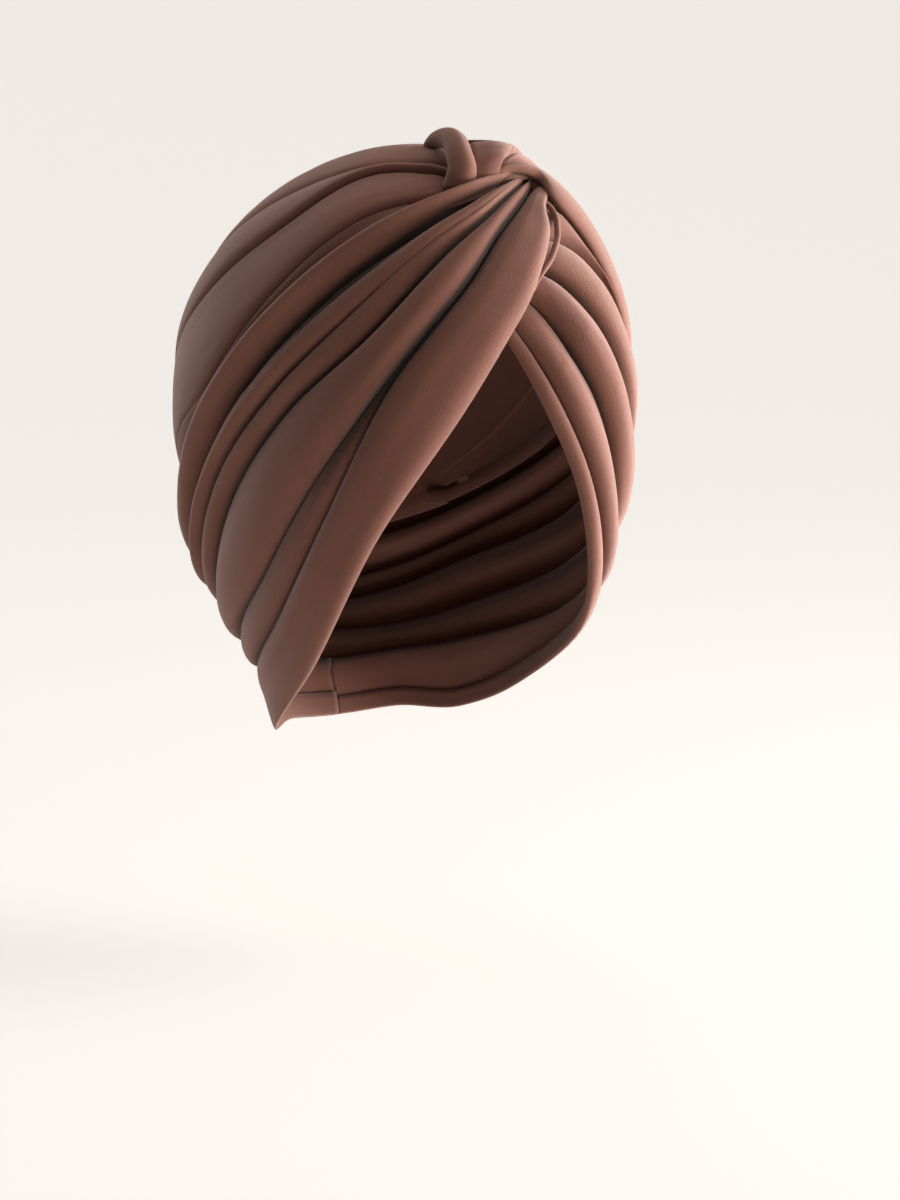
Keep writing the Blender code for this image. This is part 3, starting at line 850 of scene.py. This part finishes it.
class CrownSheet(FoldedSheet):
    """A sheet over the top of the head, whose hem is tucked under the wraps."""

    def finished(self, points: np.ndarray, depth: np.ndarray) -> tuple[np.ndarray, np.ndarray]:
        """The points with both long edges and the tucked hem added."""
        points, depth = super().finished(points, depth)
        away, outward = away_from(points[-1], points[-2])
        away *= np.sign(((points[-1] - points[-2]) * away).sum(axis=1, keepdims=True))
        hem = points[-1] + away * HEM_TUCK * MM - outward * HEM_SLOPE * MM
        return np.concatenate((points, hem[None])), np.concatenate((depth, depth[-1:]))


@dataclass
class LeftCrown(CrownSheet):
    """The cloth that comes out of the twist and covers the top left and the left back."""

    name: str = "left_crown_cloth"
    node: str = "left_crown"
    places: dict[str, float] = field(default_factory=lambda: PLEAT_PLACES)
    creases: tuple[Crease, ...] = PLEAT_CREASES
    folds: tuple[Fold, ...] = (
        Fold((0.6, 2.2, 2.0, 0.0)),
        Fold((0.6, 2.0, 1.5, 0.0)),
        Fold((0.6, 2.0, 1.5, 0.0)),
    )
    first_edge: Edge = Edge(EdgeKind.TUCKED, width=5.0, drop=1.2, end_width=8.0)
    last_edge: Edge = Edge(EdgeKind.ROLLED, radius=0.9, width=2.0)
    flat: tuple[float, float] = (0.14, 0.26)
    turn: Turn = Turn.REVERSED
    rows: int = 180
    packing: float = 1.4
    seed: float = 11.2

    def lines(self, along: np.ndarray) -> list[np.ndarray]:
        """The edge under the long fold, and its creases."""
        return [left_edge_line(CORNER_REACH * along), *pleat_lines(along)]

    def notches(self) -> list[tuple[Stages, float]]:
        """No cleft at the tucked edge, and its creases' own."""
        return [NO_CLEFT, *super().notches()]


@dataclass
class RightCrown(CrownSheet):
    """The cloth over the top and right back of the head, gathered into the loop."""

    name: str = "right_crown_cloth"
    node: str = "right_crown"
    places: dict[str, float] = field(default_factory=lambda: CROWN_PLACES)
    creases: tuple[Crease, ...] = CROWN_CREASES
    folds: tuple[Fold, ...] = (
        Fold((0.3, 1.0, 1.5, 0.0), soft=(0.6, 0.3)),
        Fold((0.4, 2.2, 2.0, 0.0), peak=(0.3, 0.16, 0.2, 0.4), soft=(0.2, 0.85), columns=26),
        Fold((0.4, 2.8, 2.2, 0.0), peak=(0.3, 0.14, 0.2, 0.4), soft=(0.15, 0.85), columns=26),
        Fold((0.3, 1.4, 1.8, 0.0), soft=(0.3, 0.4)),
    )
    first_edge: Edge = Edge(EdgeKind.TUCKED, width=5.0, drop=1.2, end_width=10.0)
    last_edge: Edge = Edge(EdgeKind.TUCKED, width=5.0, drop=1.2)
    flat: tuple[float, float] = (0.15, 0.27)
    rows: int = 190
    packing: float = 1.4
    seed: float = 15.6

    def lines(self, along: np.ndarray) -> list[np.ndarray]:
        """The edge under the right wrap, its creases, and the edge under the top pleat."""
        start = CROWN_START_DROP * np.clip(1 - along / CROWN_START_REACH, 0, 1)
        reach = CROWN_START + (CORNER_REACH - CROWN_START) * along
        tucked = lowered(right_edge_line(reach), start)
        hems = lowered(right_edge_line(np.array(RIGHT_HEM_REACH)), HEM_DROP)
        creases = [
            crease_line(crease, self.places, along, hem) for crease, hem in zip(self.creases, hems)
        ]
        pleat = lowered(pleat_lines(PLEAT_REACH + (1 - PLEAT_REACH) * along)[-1], PLEAT_DROP)
        return [tucked, *creases, pleat]

    def notches(self) -> list[tuple[Stages, float]]:
        """No cleft at the two tucked edges, and its creases' own."""
        return [NO_CLEFT, *super().notches(), NO_CLEFT]


CROSSING_PLACES = dict(under=0.0, pinch=0.12, rise=0.32, middle=0.56, top=0.80, over=1.0)
CROSSING_CREASES = (
    Crease("crossing_left", dict(
        under=(7, 54, 9), pinch=(6, 56.2, 11.6), rise=(3.5, 60.8, 17.6), middle=(-1.5, 65, 19.4),
        top=(-9, 69.6, 19.4), over=(-23, 75, 11))),
    Crease("crossing_ridge", dict(
        under=(-0.5, 55, 9.5), pinch=(-5, 57.3, 12.5), rise=(-10, 60.4, 20.4), middle=(-18.5, 62.7, 22),
        top=(-33, 65.5, 21.8), over=(-57, 69, 13.5))),
)


@dataclass
class Crossing(FoldedSheet):
    """The short stretch of the right crown's cloth that shows again beyond the loop."""

    name: str = "crossing_cloth"
    node: str = "right_crown"
    places: dict[str, float] = field(default_factory=lambda: CROSSING_PLACES)
    creases: tuple[Crease, ...] = CROSSING_CREASES
    folds: tuple[Fold, ...] = (
        Fold((0.3, 1.6, 1.8, 0.5), peak=(0.6, 0.6, 0.6, 0.6), soft=(0.7, 0.1), columns=26),
    )
    first_edge: Edge = Edge(EdgeKind.TUCKED, width=3.0, drop=8.0)
    last_edge: Edge = Edge(EdgeKind.ROLLED, radius=1.1, width=2.0, drop=1.0)
    flat: tuple[float, float] = (0.030, 0.046)
    unevenness: float = 0.12
    rows: int = 60
    seed: float = 21.4


@dataclass
class ClothRoll:
    """A closed roll of cloth along a line.

    Attributes:
        name: Name of the piece.
        node: The frame's node that it belongs to.
        thickness: Full thickness of the roll, in metres.
        sides: Columns round it.
        rings: Rings along it.
        closing: How many rings round off each end.
    """

    name: str
    node: str
    thickness: float
    sides: int = 72
    rings: int = 110
    closing: float = 7.0

    def stops(self) -> np.ndarray:
        """Its centre line as rows of x, y and z in metres and the share of its full thickness."""
        raise NotImplementedError

    def build(self) -> bpy.types.Object:
        """The roll as an object."""
        rows = self.stops()
        knots = np.concatenate(((0.0,), np.cumsum(np.linalg.norm(np.diff(rows[:, :3], axis=0), axis=1))))
        rows = smooth_curve(knots, rows, np.linspace(0, knots[-1], self.rings))
        centres, taper = rows[:, :3], rows[:, 3]
        forward = unit_rows(np.gradient(centres, axis=0))
        side = unit_rows(np.cross(forward, (1.0, 0.0, 0.0)))
        other = np.cross(side, forward)
        ends = np.minimum(np.arange(self.rings), np.arange(self.rings)[::-1]) / self.closing
        radius = self.thickness / 2 * taper * np.sqrt(1 - (1 - np.clip(ends, 0, 1)) ** 2)
        around = np.linspace(0, 2 * math.pi, self.sides + 1)[:-1]
        points = centres[:, None] + radius[:, None, None] * (
            np.cos(around)[None, :, None] * side[:, None] + np.sin(around)[None, :, None] * other[:, None]
        )
        length = np.concatenate(((0.0,), np.cumsum(np.linalg.norm(np.diff(centres, axis=0), axis=1))))
        form = bmesh.new()
        grid = bmesh.ops.create_grid(form, x_segments=self.sides, y_segments=self.rings - 1, size=1.0)
        corners = sorted(grid["verts"], key=lambda v: (round(v.co.y, 6), round(v.co.x, 6)))
        wrapped = np.concatenate((points, points[:, :1]), axis=1)
        sheet = form.loops.layers.uv.new("cloth")
        places = {}
        for number, (corner, place) in enumerate(zip(corners, wrapped.reshape(-1, 3))):
            ring, column = divmod(number, self.sides + 1)
            corner.co = place
            places[corner] = (length[ring], column / self.sides * math.pi * self.thickness)
        for face in form.faces:
            for loop in face.loops:
                loop[sheet].uv = places[loop.vert]
        bmesh.ops.remove_doubles(form, verts=form.verts, dist=1e-6)
        bmesh.ops.recalc_face_normals(form, faces=form.faces)
        mesh = bpy.data.meshes.new(self.name)
        form.to_mesh(mesh)
        form.free()
        mesh.shade_smooth()
        mesh.attributes.new("crease_depth", "FLOAT", "POINT")
        roll = bpy.data.objects.new(self.name, mesh)
        bpy.context.scene.collection.objects.link(roll)
        return roll


@dataclass
class KnotLoop(ClothRoll):
    """The rolled loop of cloth that stands up in the twist.

    Attributes:
        line: Stops from its near foot over the top to its far foot, in metres from the head's
            centre, each with its share of the full thickness.
    """

    name: str = "knot_loop_cloth"
    node: str = "knot_loop"
    thickness: float = 0.0142
    line: tuple[tuple[float, float, float, float], ...] = (
        (-0.0100, -0.0520, 0.0852, 1.02),
        (-0.0098, -0.0524, 0.0893, 0.97),
        (-0.0094, -0.0528, 0.0924, 0.88),
        (-0.0085, -0.0523, 0.0954, 0.84),
        (-0.0077, -0.0504, 0.0986, 0.80),
        (-0.0064, -0.0471, 0.1019, 0.76),
        (-0.0045, -0.0430, 0.1048, 0.73),
        (-0.0025, -0.0377, 0.1072, 0.70),
        (-0.0009, -0.0313, 0.1085, 0.65),
        (0.0002, -0.0246, 0.1086, 0.56),
        (0.0010, -0.0191, 0.1077, 0.48),
        (0.0016, -0.0149, 0.1058, 0.42),
        (0.0022, -0.0120, 0.1034, 0.38),
    )

    def stops(self) -> np.ndarray:
        """The line, moved to the head's centre."""
        return np.array(self.line) + np.append(HEAD.centre, 0.0)


@dataclass
class BandRim(ClothRoll):
    """The hem of the smooth band, which stands clear of it beside the twist.

    Attributes:
        line: Stops of longitude, latitude, lift and share of the full thickness.
    """

    name: str = "band_rim_cloth"
    node: str = "right_wrap"
    thickness: float = 0.0026
    sides: int = 24
    closing: float = 4.0
    line: tuple[tuple[float, float, float, float], ...] = (
        (-24.5, 51.5, 13.5, 0.6),
        (-21.5, 50.0, 15.6, 0.85),
        (-21.9, 48.2, 15.8, 0.95),
        (-21.6, 45.9, 15.2, 1.0),
        (-19.8, 43.4, 14.3, 1.0),
        (-17.6, 41.0, 13.6, 1.0),
        (-13.9, 38.2, 13.0, 1.0),
        (-10.4, 35.5, 12.3, 1.0),
        (-7.0, 33.4, 12.1, 1.0),
        (-4.2, 31.4, 11.4, 0.95),
        (-1.2, 28.2, 10.2, 0.8),
    )

    def stops(self) -> np.ndarray:
        """The line as points, with each stop's share of the thickness."""
        rows = np.array([(*direction_of(stop[0], stop[1]), stop[2]) for stop in self.line])
        return np.concatenate((placed(rows), np.array(self.line)[:, 3:]), axis=1)


def value_input(group: bpy.types.NodeTree, name: str, value: float) -> None:
    """Adds a number to a node group's inputs."""
    socket = group.interface.new_socket(name=name, in_out="INPUT", socket_type="NodeSocketFloat")
    socket.default_value = value


def joined(
    nodes: bpy.types.NodeTree, operation: str, first: object, second: object
) -> bpy.types.NodeSocket:
    """A Math node over two sockets or numbers.

    Args:
        nodes: The tree that the node goes into.
        operation: The Math node's operation.
        first: Socket or number of the first input.
        second: Socket or number of the second input.

    Returns:
        The node's output.
    """
    node = nodes.nodes.new("ShaderNodeMath")
    node.operation = operation
    for socket, given in zip(node.inputs, (first, second)):
        if isinstance(given, bpy.types.NodeSocket):
            nodes.links.new(given, socket)
        else:
            socket.default_value = given
    return node.outputs[0]


def noise_of(nodes: bpy.types.NodeTree, vector: bpy.types.NodeSocket, scale: float, detail: float):
    """The value of a Noise Texture of that scale over the given coordinates."""
    node = nodes.nodes.new("ShaderNodeTexNoise")
    node.inputs["Scale"].default_value = scale
    node.inputs["Detail"].default_value = detail
    nodes.links.new(vector, node.inputs["Vector"])
    return node.outputs["Fac"]


def knit_group() -> bpy.types.NodeTree:
    """Brushed knit, shared by every sheet: uneven colour, roughness and a height for the bump."""
    group = bpy.data.node_groups.new("brushed_knit", "ShaderNodeTree")
    new = group.interface.new_socket
    new(name="Yarn", in_out="INPUT", socket_type="NodeSocketColor")
    value_input(group, "Stitches per Metre", 1500.0)
    value_input(group, "Heather", 0.25)
    value_input(group, "Crease Shade", 0.3)
    new(name="Colour", in_out="OUTPUT", socket_type="NodeSocketColor")
    new(name="Roughness", in_out="OUTPUT", socket_type="NodeSocketFloat")
    new(name="Height", in_out="OUTPUT", socket_type="NodeSocketFloat")
    source = group.nodes.new("NodeGroupInput")
    result = group.nodes.new("NodeGroupOutput")
    sheet = group.nodes.new("ShaderNodeUVMap")
    sheet.uv_map = "cloth"
    split = group.nodes.new("ShaderNodeSeparateXYZ")
    group.links.new(sheet.outputs["UV"], split.inputs[0])
    across = joined(group, "MULTIPLY", split.outputs["Y"], source.outputs["Stitches per Metre"])
    along = joined(group, "MULTIPLY", split.outputs["X"], source.outputs["Stitches per Metre"])
    rib = joined(group, "PINGPONG", across, 0.5)
    chevron = joined(group, "ADD", along, rib)
    stitch = joined(group, "SINE", joined(group, "MULTIPLY", chevron, 2 * math.pi), 0.0)
    knit = joined(group, "ADD", joined(group, "MULTIPLY", rib, 1.2), joined(group, "MULTIPLY", stitch, 0.2))
    pile = noise_of(group, sheet.outputs["UV"], 1500.0, 4.0)
    clump = noise_of(group, sheet.outputs["UV"], 420.0, 2.0)
    cloud = noise_of(group, sheet.outputs["UV"], 28.0, 2.0)
    height = joined(group, "ADD", joined(group, "MULTIPLY", knit, 0.18), pile)
    grain = joined(group, "ADD", joined(group, "MULTIPLY", pile, 0.9), joined(group, "MULTIPLY", clump, 0.45))
    grain = joined(group, "ADD", grain, joined(group, "MULTIPLY", cloud, 0.65))
    centred = joined(group, "SUBTRACT", grain, 1.0)
    swing = joined(group, "MULTIPLY", centred, source.outputs["Heather"])
    # Painted shade: the crease depth attribute darkens the yarn colour in the creases, where the folds hide
    # the light.
    deep = group.nodes.new("ShaderNodeAttribute")
    deep.attribute_name = "crease_depth"
    shade = joined(group, "MULTIPLY", deep.outputs["Fac"], source.outputs["Crease Shade"])
    gain = joined(group, "MULTIPLY", joined(group, "ADD", swing, 1.0), joined(group, "SUBTRACT", 1.0, shade))
    tint = group.nodes.new("ShaderNodeVectorMath")
    tint.operation = "SCALE"
    group.links.new(source.outputs["Yarn"], tint.inputs[0])
    group.links.new(gain, tint.inputs["Scale"])
    group.links.new(tint.outputs[0], result.inputs["Colour"])
    rough = joined(group, "ADD", 0.78, joined(group, "MULTIPLY", pile, 0.2))
    group.links.new(rough, result.inputs["Roughness"])
    group.links.new(height, result.inputs["Height"])
    return group


@dataclass(frozen=True)
class BrushedJersey:
    """Soft jersey with a short brushed pile.

    Attributes:
        yarn: Colour of the yarn.
        stitches: Stitches per metre.
        heather: How much lighter and darker single yarns are.
        crease_shade: How much darker the colour is painted deep in a crease: painted shade where the folds
            hide the light.
        sheen: Strength of the pale light that the pile catches.
        sheen_roughness: How wide that light spreads.
        sheen_tint: Its colour.
        relief: Depth of the knit's relief, in metres.
    """

    yarn: tuple[float, float, float, float] = (0.162, 0.0615, 0.0405, 1.0)
    stitches: float = 1900.0
    heather: float = 0.42
    # Painted shade: the colour in the creases is darkened by up to this share.
    crease_shade: float = 0.80
    sheen: float = 0.31
    sheen_roughness: float = 0.45
    sheen_tint: tuple[float, float, float, float] = (1.0, 0.86, 0.81, 1.0)
    relief: float = 0.00016

    def make(self, name: str, knit: bpy.types.NodeTree) -> bpy.types.Material:
        """The finish as a material.

        Args:
            name: Name of the material.
            knit: The shared knit group.

        Returns:
            The material.
        """
        material = bpy.data.materials.new(name)
        material.use_nodes = True
        tree = material.node_tree
        shader = tree.nodes["Principled BSDF"]
        cloth = tree.nodes.new("ShaderNodeGroup")
        cloth.node_tree = knit
        cloth.inputs["Yarn"].default_value = self.yarn
        cloth.inputs["Stitches per Metre"].default_value = self.stitches
        cloth.inputs["Heather"].default_value = self.heather
        cloth.inputs["Crease Shade"].default_value = self.crease_shade
        bump = tree.nodes.new("ShaderNodeBump")
        bump.inputs["Distance"].default_value = self.relief
        bump.inputs["Strength"].default_value = 1.0
        tree.links.new(cloth.outputs["Colour"], shader.inputs["Base Color"])
        tree.links.new(cloth.outputs["Roughness"], shader.inputs["Roughness"])
        tree.links.new(cloth.outputs["Height"], bump.inputs["Height"])
        tree.links.new(bump.outputs["Normal"], shader.inputs["Normal"])
        shader.inputs["Specular IOR Level"].default_value = 0.2
        shader.inputs["Sheen Weight"].default_value = self.sheen
        shader.inputs["Sheen Roughness"].default_value = self.sheen_roughness
        shader.inputs["Sheen Tint"].default_value = self.sheen_tint
        return material


@dataclass
class Headwrap:
    """The whole turban: its sheets, its loop and their finish."""

    jersey: BrushedJersey = BrushedJersey()
    held: str = "stretched"
    parts: tuple = (BandRim, RightWrap, LeftWrap, LongFold, RightCrown, LeftCrown, Crossing, KnotLoop)

    def build(self) -> list[bpy.types.Object]:
        """Builds each piece, dresses it and ties it to its place in the frame."""
        knit = knit_group()
        pieces = []
        for part_class in self.parts:
            part = part_class()
            piece = part.build()
            piece.data.materials.append(self.jersey.make(part.name.replace("cloth", "jersey"), knit))
            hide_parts(part.node)
            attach(piece, BODY)
            LOG.info("%s: %d faces", piece.name, len(piece.data.polygons))
            pieces.append(piece)
        return pieces


@dataclass(frozen=True)
class Lamp:
    """One soft light.

    Attributes:
        name: Its plain name.
        azimuth: Where it stands, in degrees from the camera toward the camera's right.
        elevation: Its angle over the horizon.
        power: Its power, in watts.
        size: Its side, in metres.
        distance: Its distance from the head's centre, in metres.
        colour: Its colour.
    """

    name: str
    azimuth: float
    elevation: float
    power: float
    size: float = 0.9
    distance: float = 1.4
    colour: tuple[float, float, float] = (1.0, 0.97, 0.94)


WRAP_LAMPS = (
    Lamp("window", 92.0, -10.0, 36.0),
    Lamp("window_edge", 120.0, 0.0, 56.0),
    Lamp("high_right", 90.0, 45.0, 7.0),
    Lamp("table_front", 5.0, -45.0, 9.0, size=1.2),
    Lamp("table_left", 270.0, -45.0, 6.0, size=1.2),
    Lamp("table_right", 45.0, -15.0, 4.0, size=1.2),
    Lamp("ceiling", 0.0, 90.0, 10.0, size=1.2),
    Lamp("wall_behind_high", 225.0, 45.0, 3.5),
    Lamp("wall_behind_low", 225.0, -5.0, 5.0),
)
STAGE_LAMPS = (
    Lamp("paper_glow", 0.0, 90.0, 3.0, size=3.0, distance=2.6, colour=(1.0, 0.985, 0.965)),
    Lamp("paper_window", 90.0, 35.0, 6.0, size=0.6, colour=(1.0, 0.985, 0.965)),
)


@dataclass
class Studio:
    """A pale sweep, soft light and the camera at the photograph's angle.

    Attributes:
        azimuth: Where the camera stands, in degrees; 0 looks along +Y.
        elevation: Its angle over the horizon.
        distance: Its distance from the head's centre, in metres.
        millimetres_per_pixel: Size of one pixel of the frame at the head's centre.
        centre_pixel: Where the head's centre lies in the frame.
        frame_pixels: Width and height of the frame.
        sensor: The sensor's long side, in millimetres.
        floor_drop: The floor's level below the head's centre.
        wall_distance: The wall's distance from the head.
        wall_height: Its height over the sweep.
        sweep_radius: Radius of the curve between floor and wall.
        paper: Colour of the sweep.
        paper_glow: How brightly the backlit sweep glows.
    """

    azimuth: float = -35.0
    elevation: float = 8.0
    distance: float = 1.25
    millimetres_per_pixel: float = 0.43
    centre_pixel: tuple[float, float] = (408.0, 395.0)
    frame_pixels: tuple[float, float] = (900.0, 1200.0)
    sensor: float = 36.0
    floor_drop: float = 0.256
    wall_distance: float = 2.4
    wall_height: float = 2.2
    sweep_radius: float = 0.7
    paper: tuple[float, float, float, float] = (0.90, 0.865, 0.82, 1.0)
    paper_glow: float = 0.79

    def axes(self) -> tuple[Vector, Vector, Vector]:
        """The camera's right, up and backward directions."""
        turn, tilt = math.radians(self.azimuth), math.radians(self.elevation)
        back = Vector((math.sin(turn) * math.cos(tilt), -math.cos(turn) * math.cos(tilt), math.sin(tilt)))
        right = Vector((math.cos(turn), math.sin(turn), 0.0))
        return right, back.cross(right), back

    def add_camera(self) -> None:
        """The camera, aimed so that the head's centre falls where it does in the photograph."""
        right, up, back = self.axes()
        pixel = self.millimetres_per_pixel * MM
        width, height = self.frame_pixels
        aim = Vector(HEAD.centre) + right * (width / 2 - self.centre_pixel[0]) * pixel
        aim -= up * (height / 2 - self.centre_pixel[1]) * pixel
        camera = bpy.data.objects.new("camera", bpy.data.cameras.new("camera"))
        camera.matrix_world = Matrix.Translation(aim + back * self.distance) @ Matrix(
            (right, up, back)
        ).transposed().to_4x4()
        camera.data.lens = self.sensor * self.distance / (pixel * height)
        camera.data.sensor_width = self.sensor
        camera.data.clip_start = 0.01
        bpy.context.scene.collection.objects.link(camera)
        bpy.context.scene.camera = camera

    def add_light(self, lamp: Lamp, lit: bpy.types.Collection) -> None:
        """An area light, aimed at the head.

        Args:
            lamp: The light's name, place, size and power.
            lit: What it lights.
        """
        right, _, back = self.axes()
        level = Vector((back.x, back.y, 0.0)).normalized()
        turn, tilt = math.radians(lamp.azimuth), math.radians(lamp.elevation)
        toward = (level * math.cos(turn) + right * math.sin(turn)) * math.cos(tilt)
        toward += Vector((0.0, 0.0, math.sin(tilt)))
        source = bpy.data.lights.new(lamp.name, "AREA")
        source.shape = "SQUARE"
        source.size = lamp.size
        source.energy = lamp.power
        source.color = lamp.colour
        light = bpy.data.objects.new(lamp.name, source)
        light.location = Vector(HEAD.centre) + toward * lamp.distance
        light.rotation_euler = (-toward).to_track_quat("-Z", "Y").to_euler()
        light.light_linking.receiver_collection = lit
        bpy.context.scene.collection.objects.link(light)

    def add_sweep(self) -> bpy.types.Object:
        """The pale floor that curves up into a wall all round."""
        floor = HEAD.centre[2] - self.floor_drop
        steps = 12
        profile = [Vector((0.0, 0.0, floor)), Vector((self.wall_distance - self.sweep_radius, 0.0, floor))]
        for step in range(1, steps + 1):
            angle = math.pi / 2 * step / steps
            profile.append(
                Vector((
                    self.wall_distance - self.sweep_radius * (1 - math.sin(angle)),
                    0.0,
                    floor + self.sweep_radius * (1 - math.cos(angle)),
                ))
            )
        profile.append(profile[-1] + Vector((0.0, 0.0, self.wall_height)))
        form = bmesh.new()
        corners = [form.verts.new(place) for place in profile]
        edges = [form.edges.new(pair) for pair in zip(corners, corners[1:])]
        bmesh.ops.spin(
            form, geom=corners + edges, cent=(0, 0, 0), axis=(0, 0, 1), angle=2 * math.pi, steps=96,
            use_merge=True,
        )
        bmesh.ops.remove_doubles(form, verts=form.verts, dist=1e-5)
        bmesh.ops.reverse_faces(form, faces=form.faces)
        mesh = bpy.data.meshes.new("sweep")
        form.to_mesh(mesh)
        form.free()
        mesh.shade_smooth()
        sweep = bpy.data.objects.new("sweep", mesh)
        bpy.context.scene.collection.objects.link(sweep)
        sweep.visible_diffuse = False
        sweep.visible_shadow = False
        material = bpy.data.materials.new("pale_paper")
        material.use_nodes = True
        shader = material.node_tree.nodes["Principled BSDF"]
        shader.inputs["Base Color"].default_value = self.paper
        shader.inputs["Roughness"].default_value = 0.9
        shader.inputs["Emission Color"].default_value = self.paper
        shader.inputs["Emission Strength"].default_value = self.paper_glow
        mesh.materials.append(material)
        return sweep

    def build(self, wrap: list[bpy.types.Object]) -> None:
        """Sets the whole studio up around the finished wrap."""
        self.add_camera()
        lit_wrap = bpy.data.collections.new("lit_wrap")
        for piece in wrap:
            lit_wrap.objects.link(piece)
        lit_paper = bpy.data.collections.new("lit_paper")
        lit_paper.objects.link(self.add_sweep())
        for lamp in WRAP_LAMPS:
            self.add_light(lamp, lit_wrap)
        for lamp in STAGE_LAMPS:
            self.add_light(lamp, lit_paper)
        world = bpy.data.worlds.new("studio")
        world.use_nodes = True
        shade = world.node_tree.nodes["Background"]
        shade.inputs["Color"].default_value = (1.0, 0.95, 0.90, 1.0)
        shade.inputs["Strength"].default_value = 0.10
        bpy.context.scene.world = world
        bpy.context.scene.view_settings.view_transform = "Standard"


def main() -> None:
    """Builds the studio and the headwrap."""
    logging.basicConfig(level=logging.INFO, format="%(name)s: %(message)s")
    Studio().build(Headwrap().build())


if __name__ == "__main__":
    main()
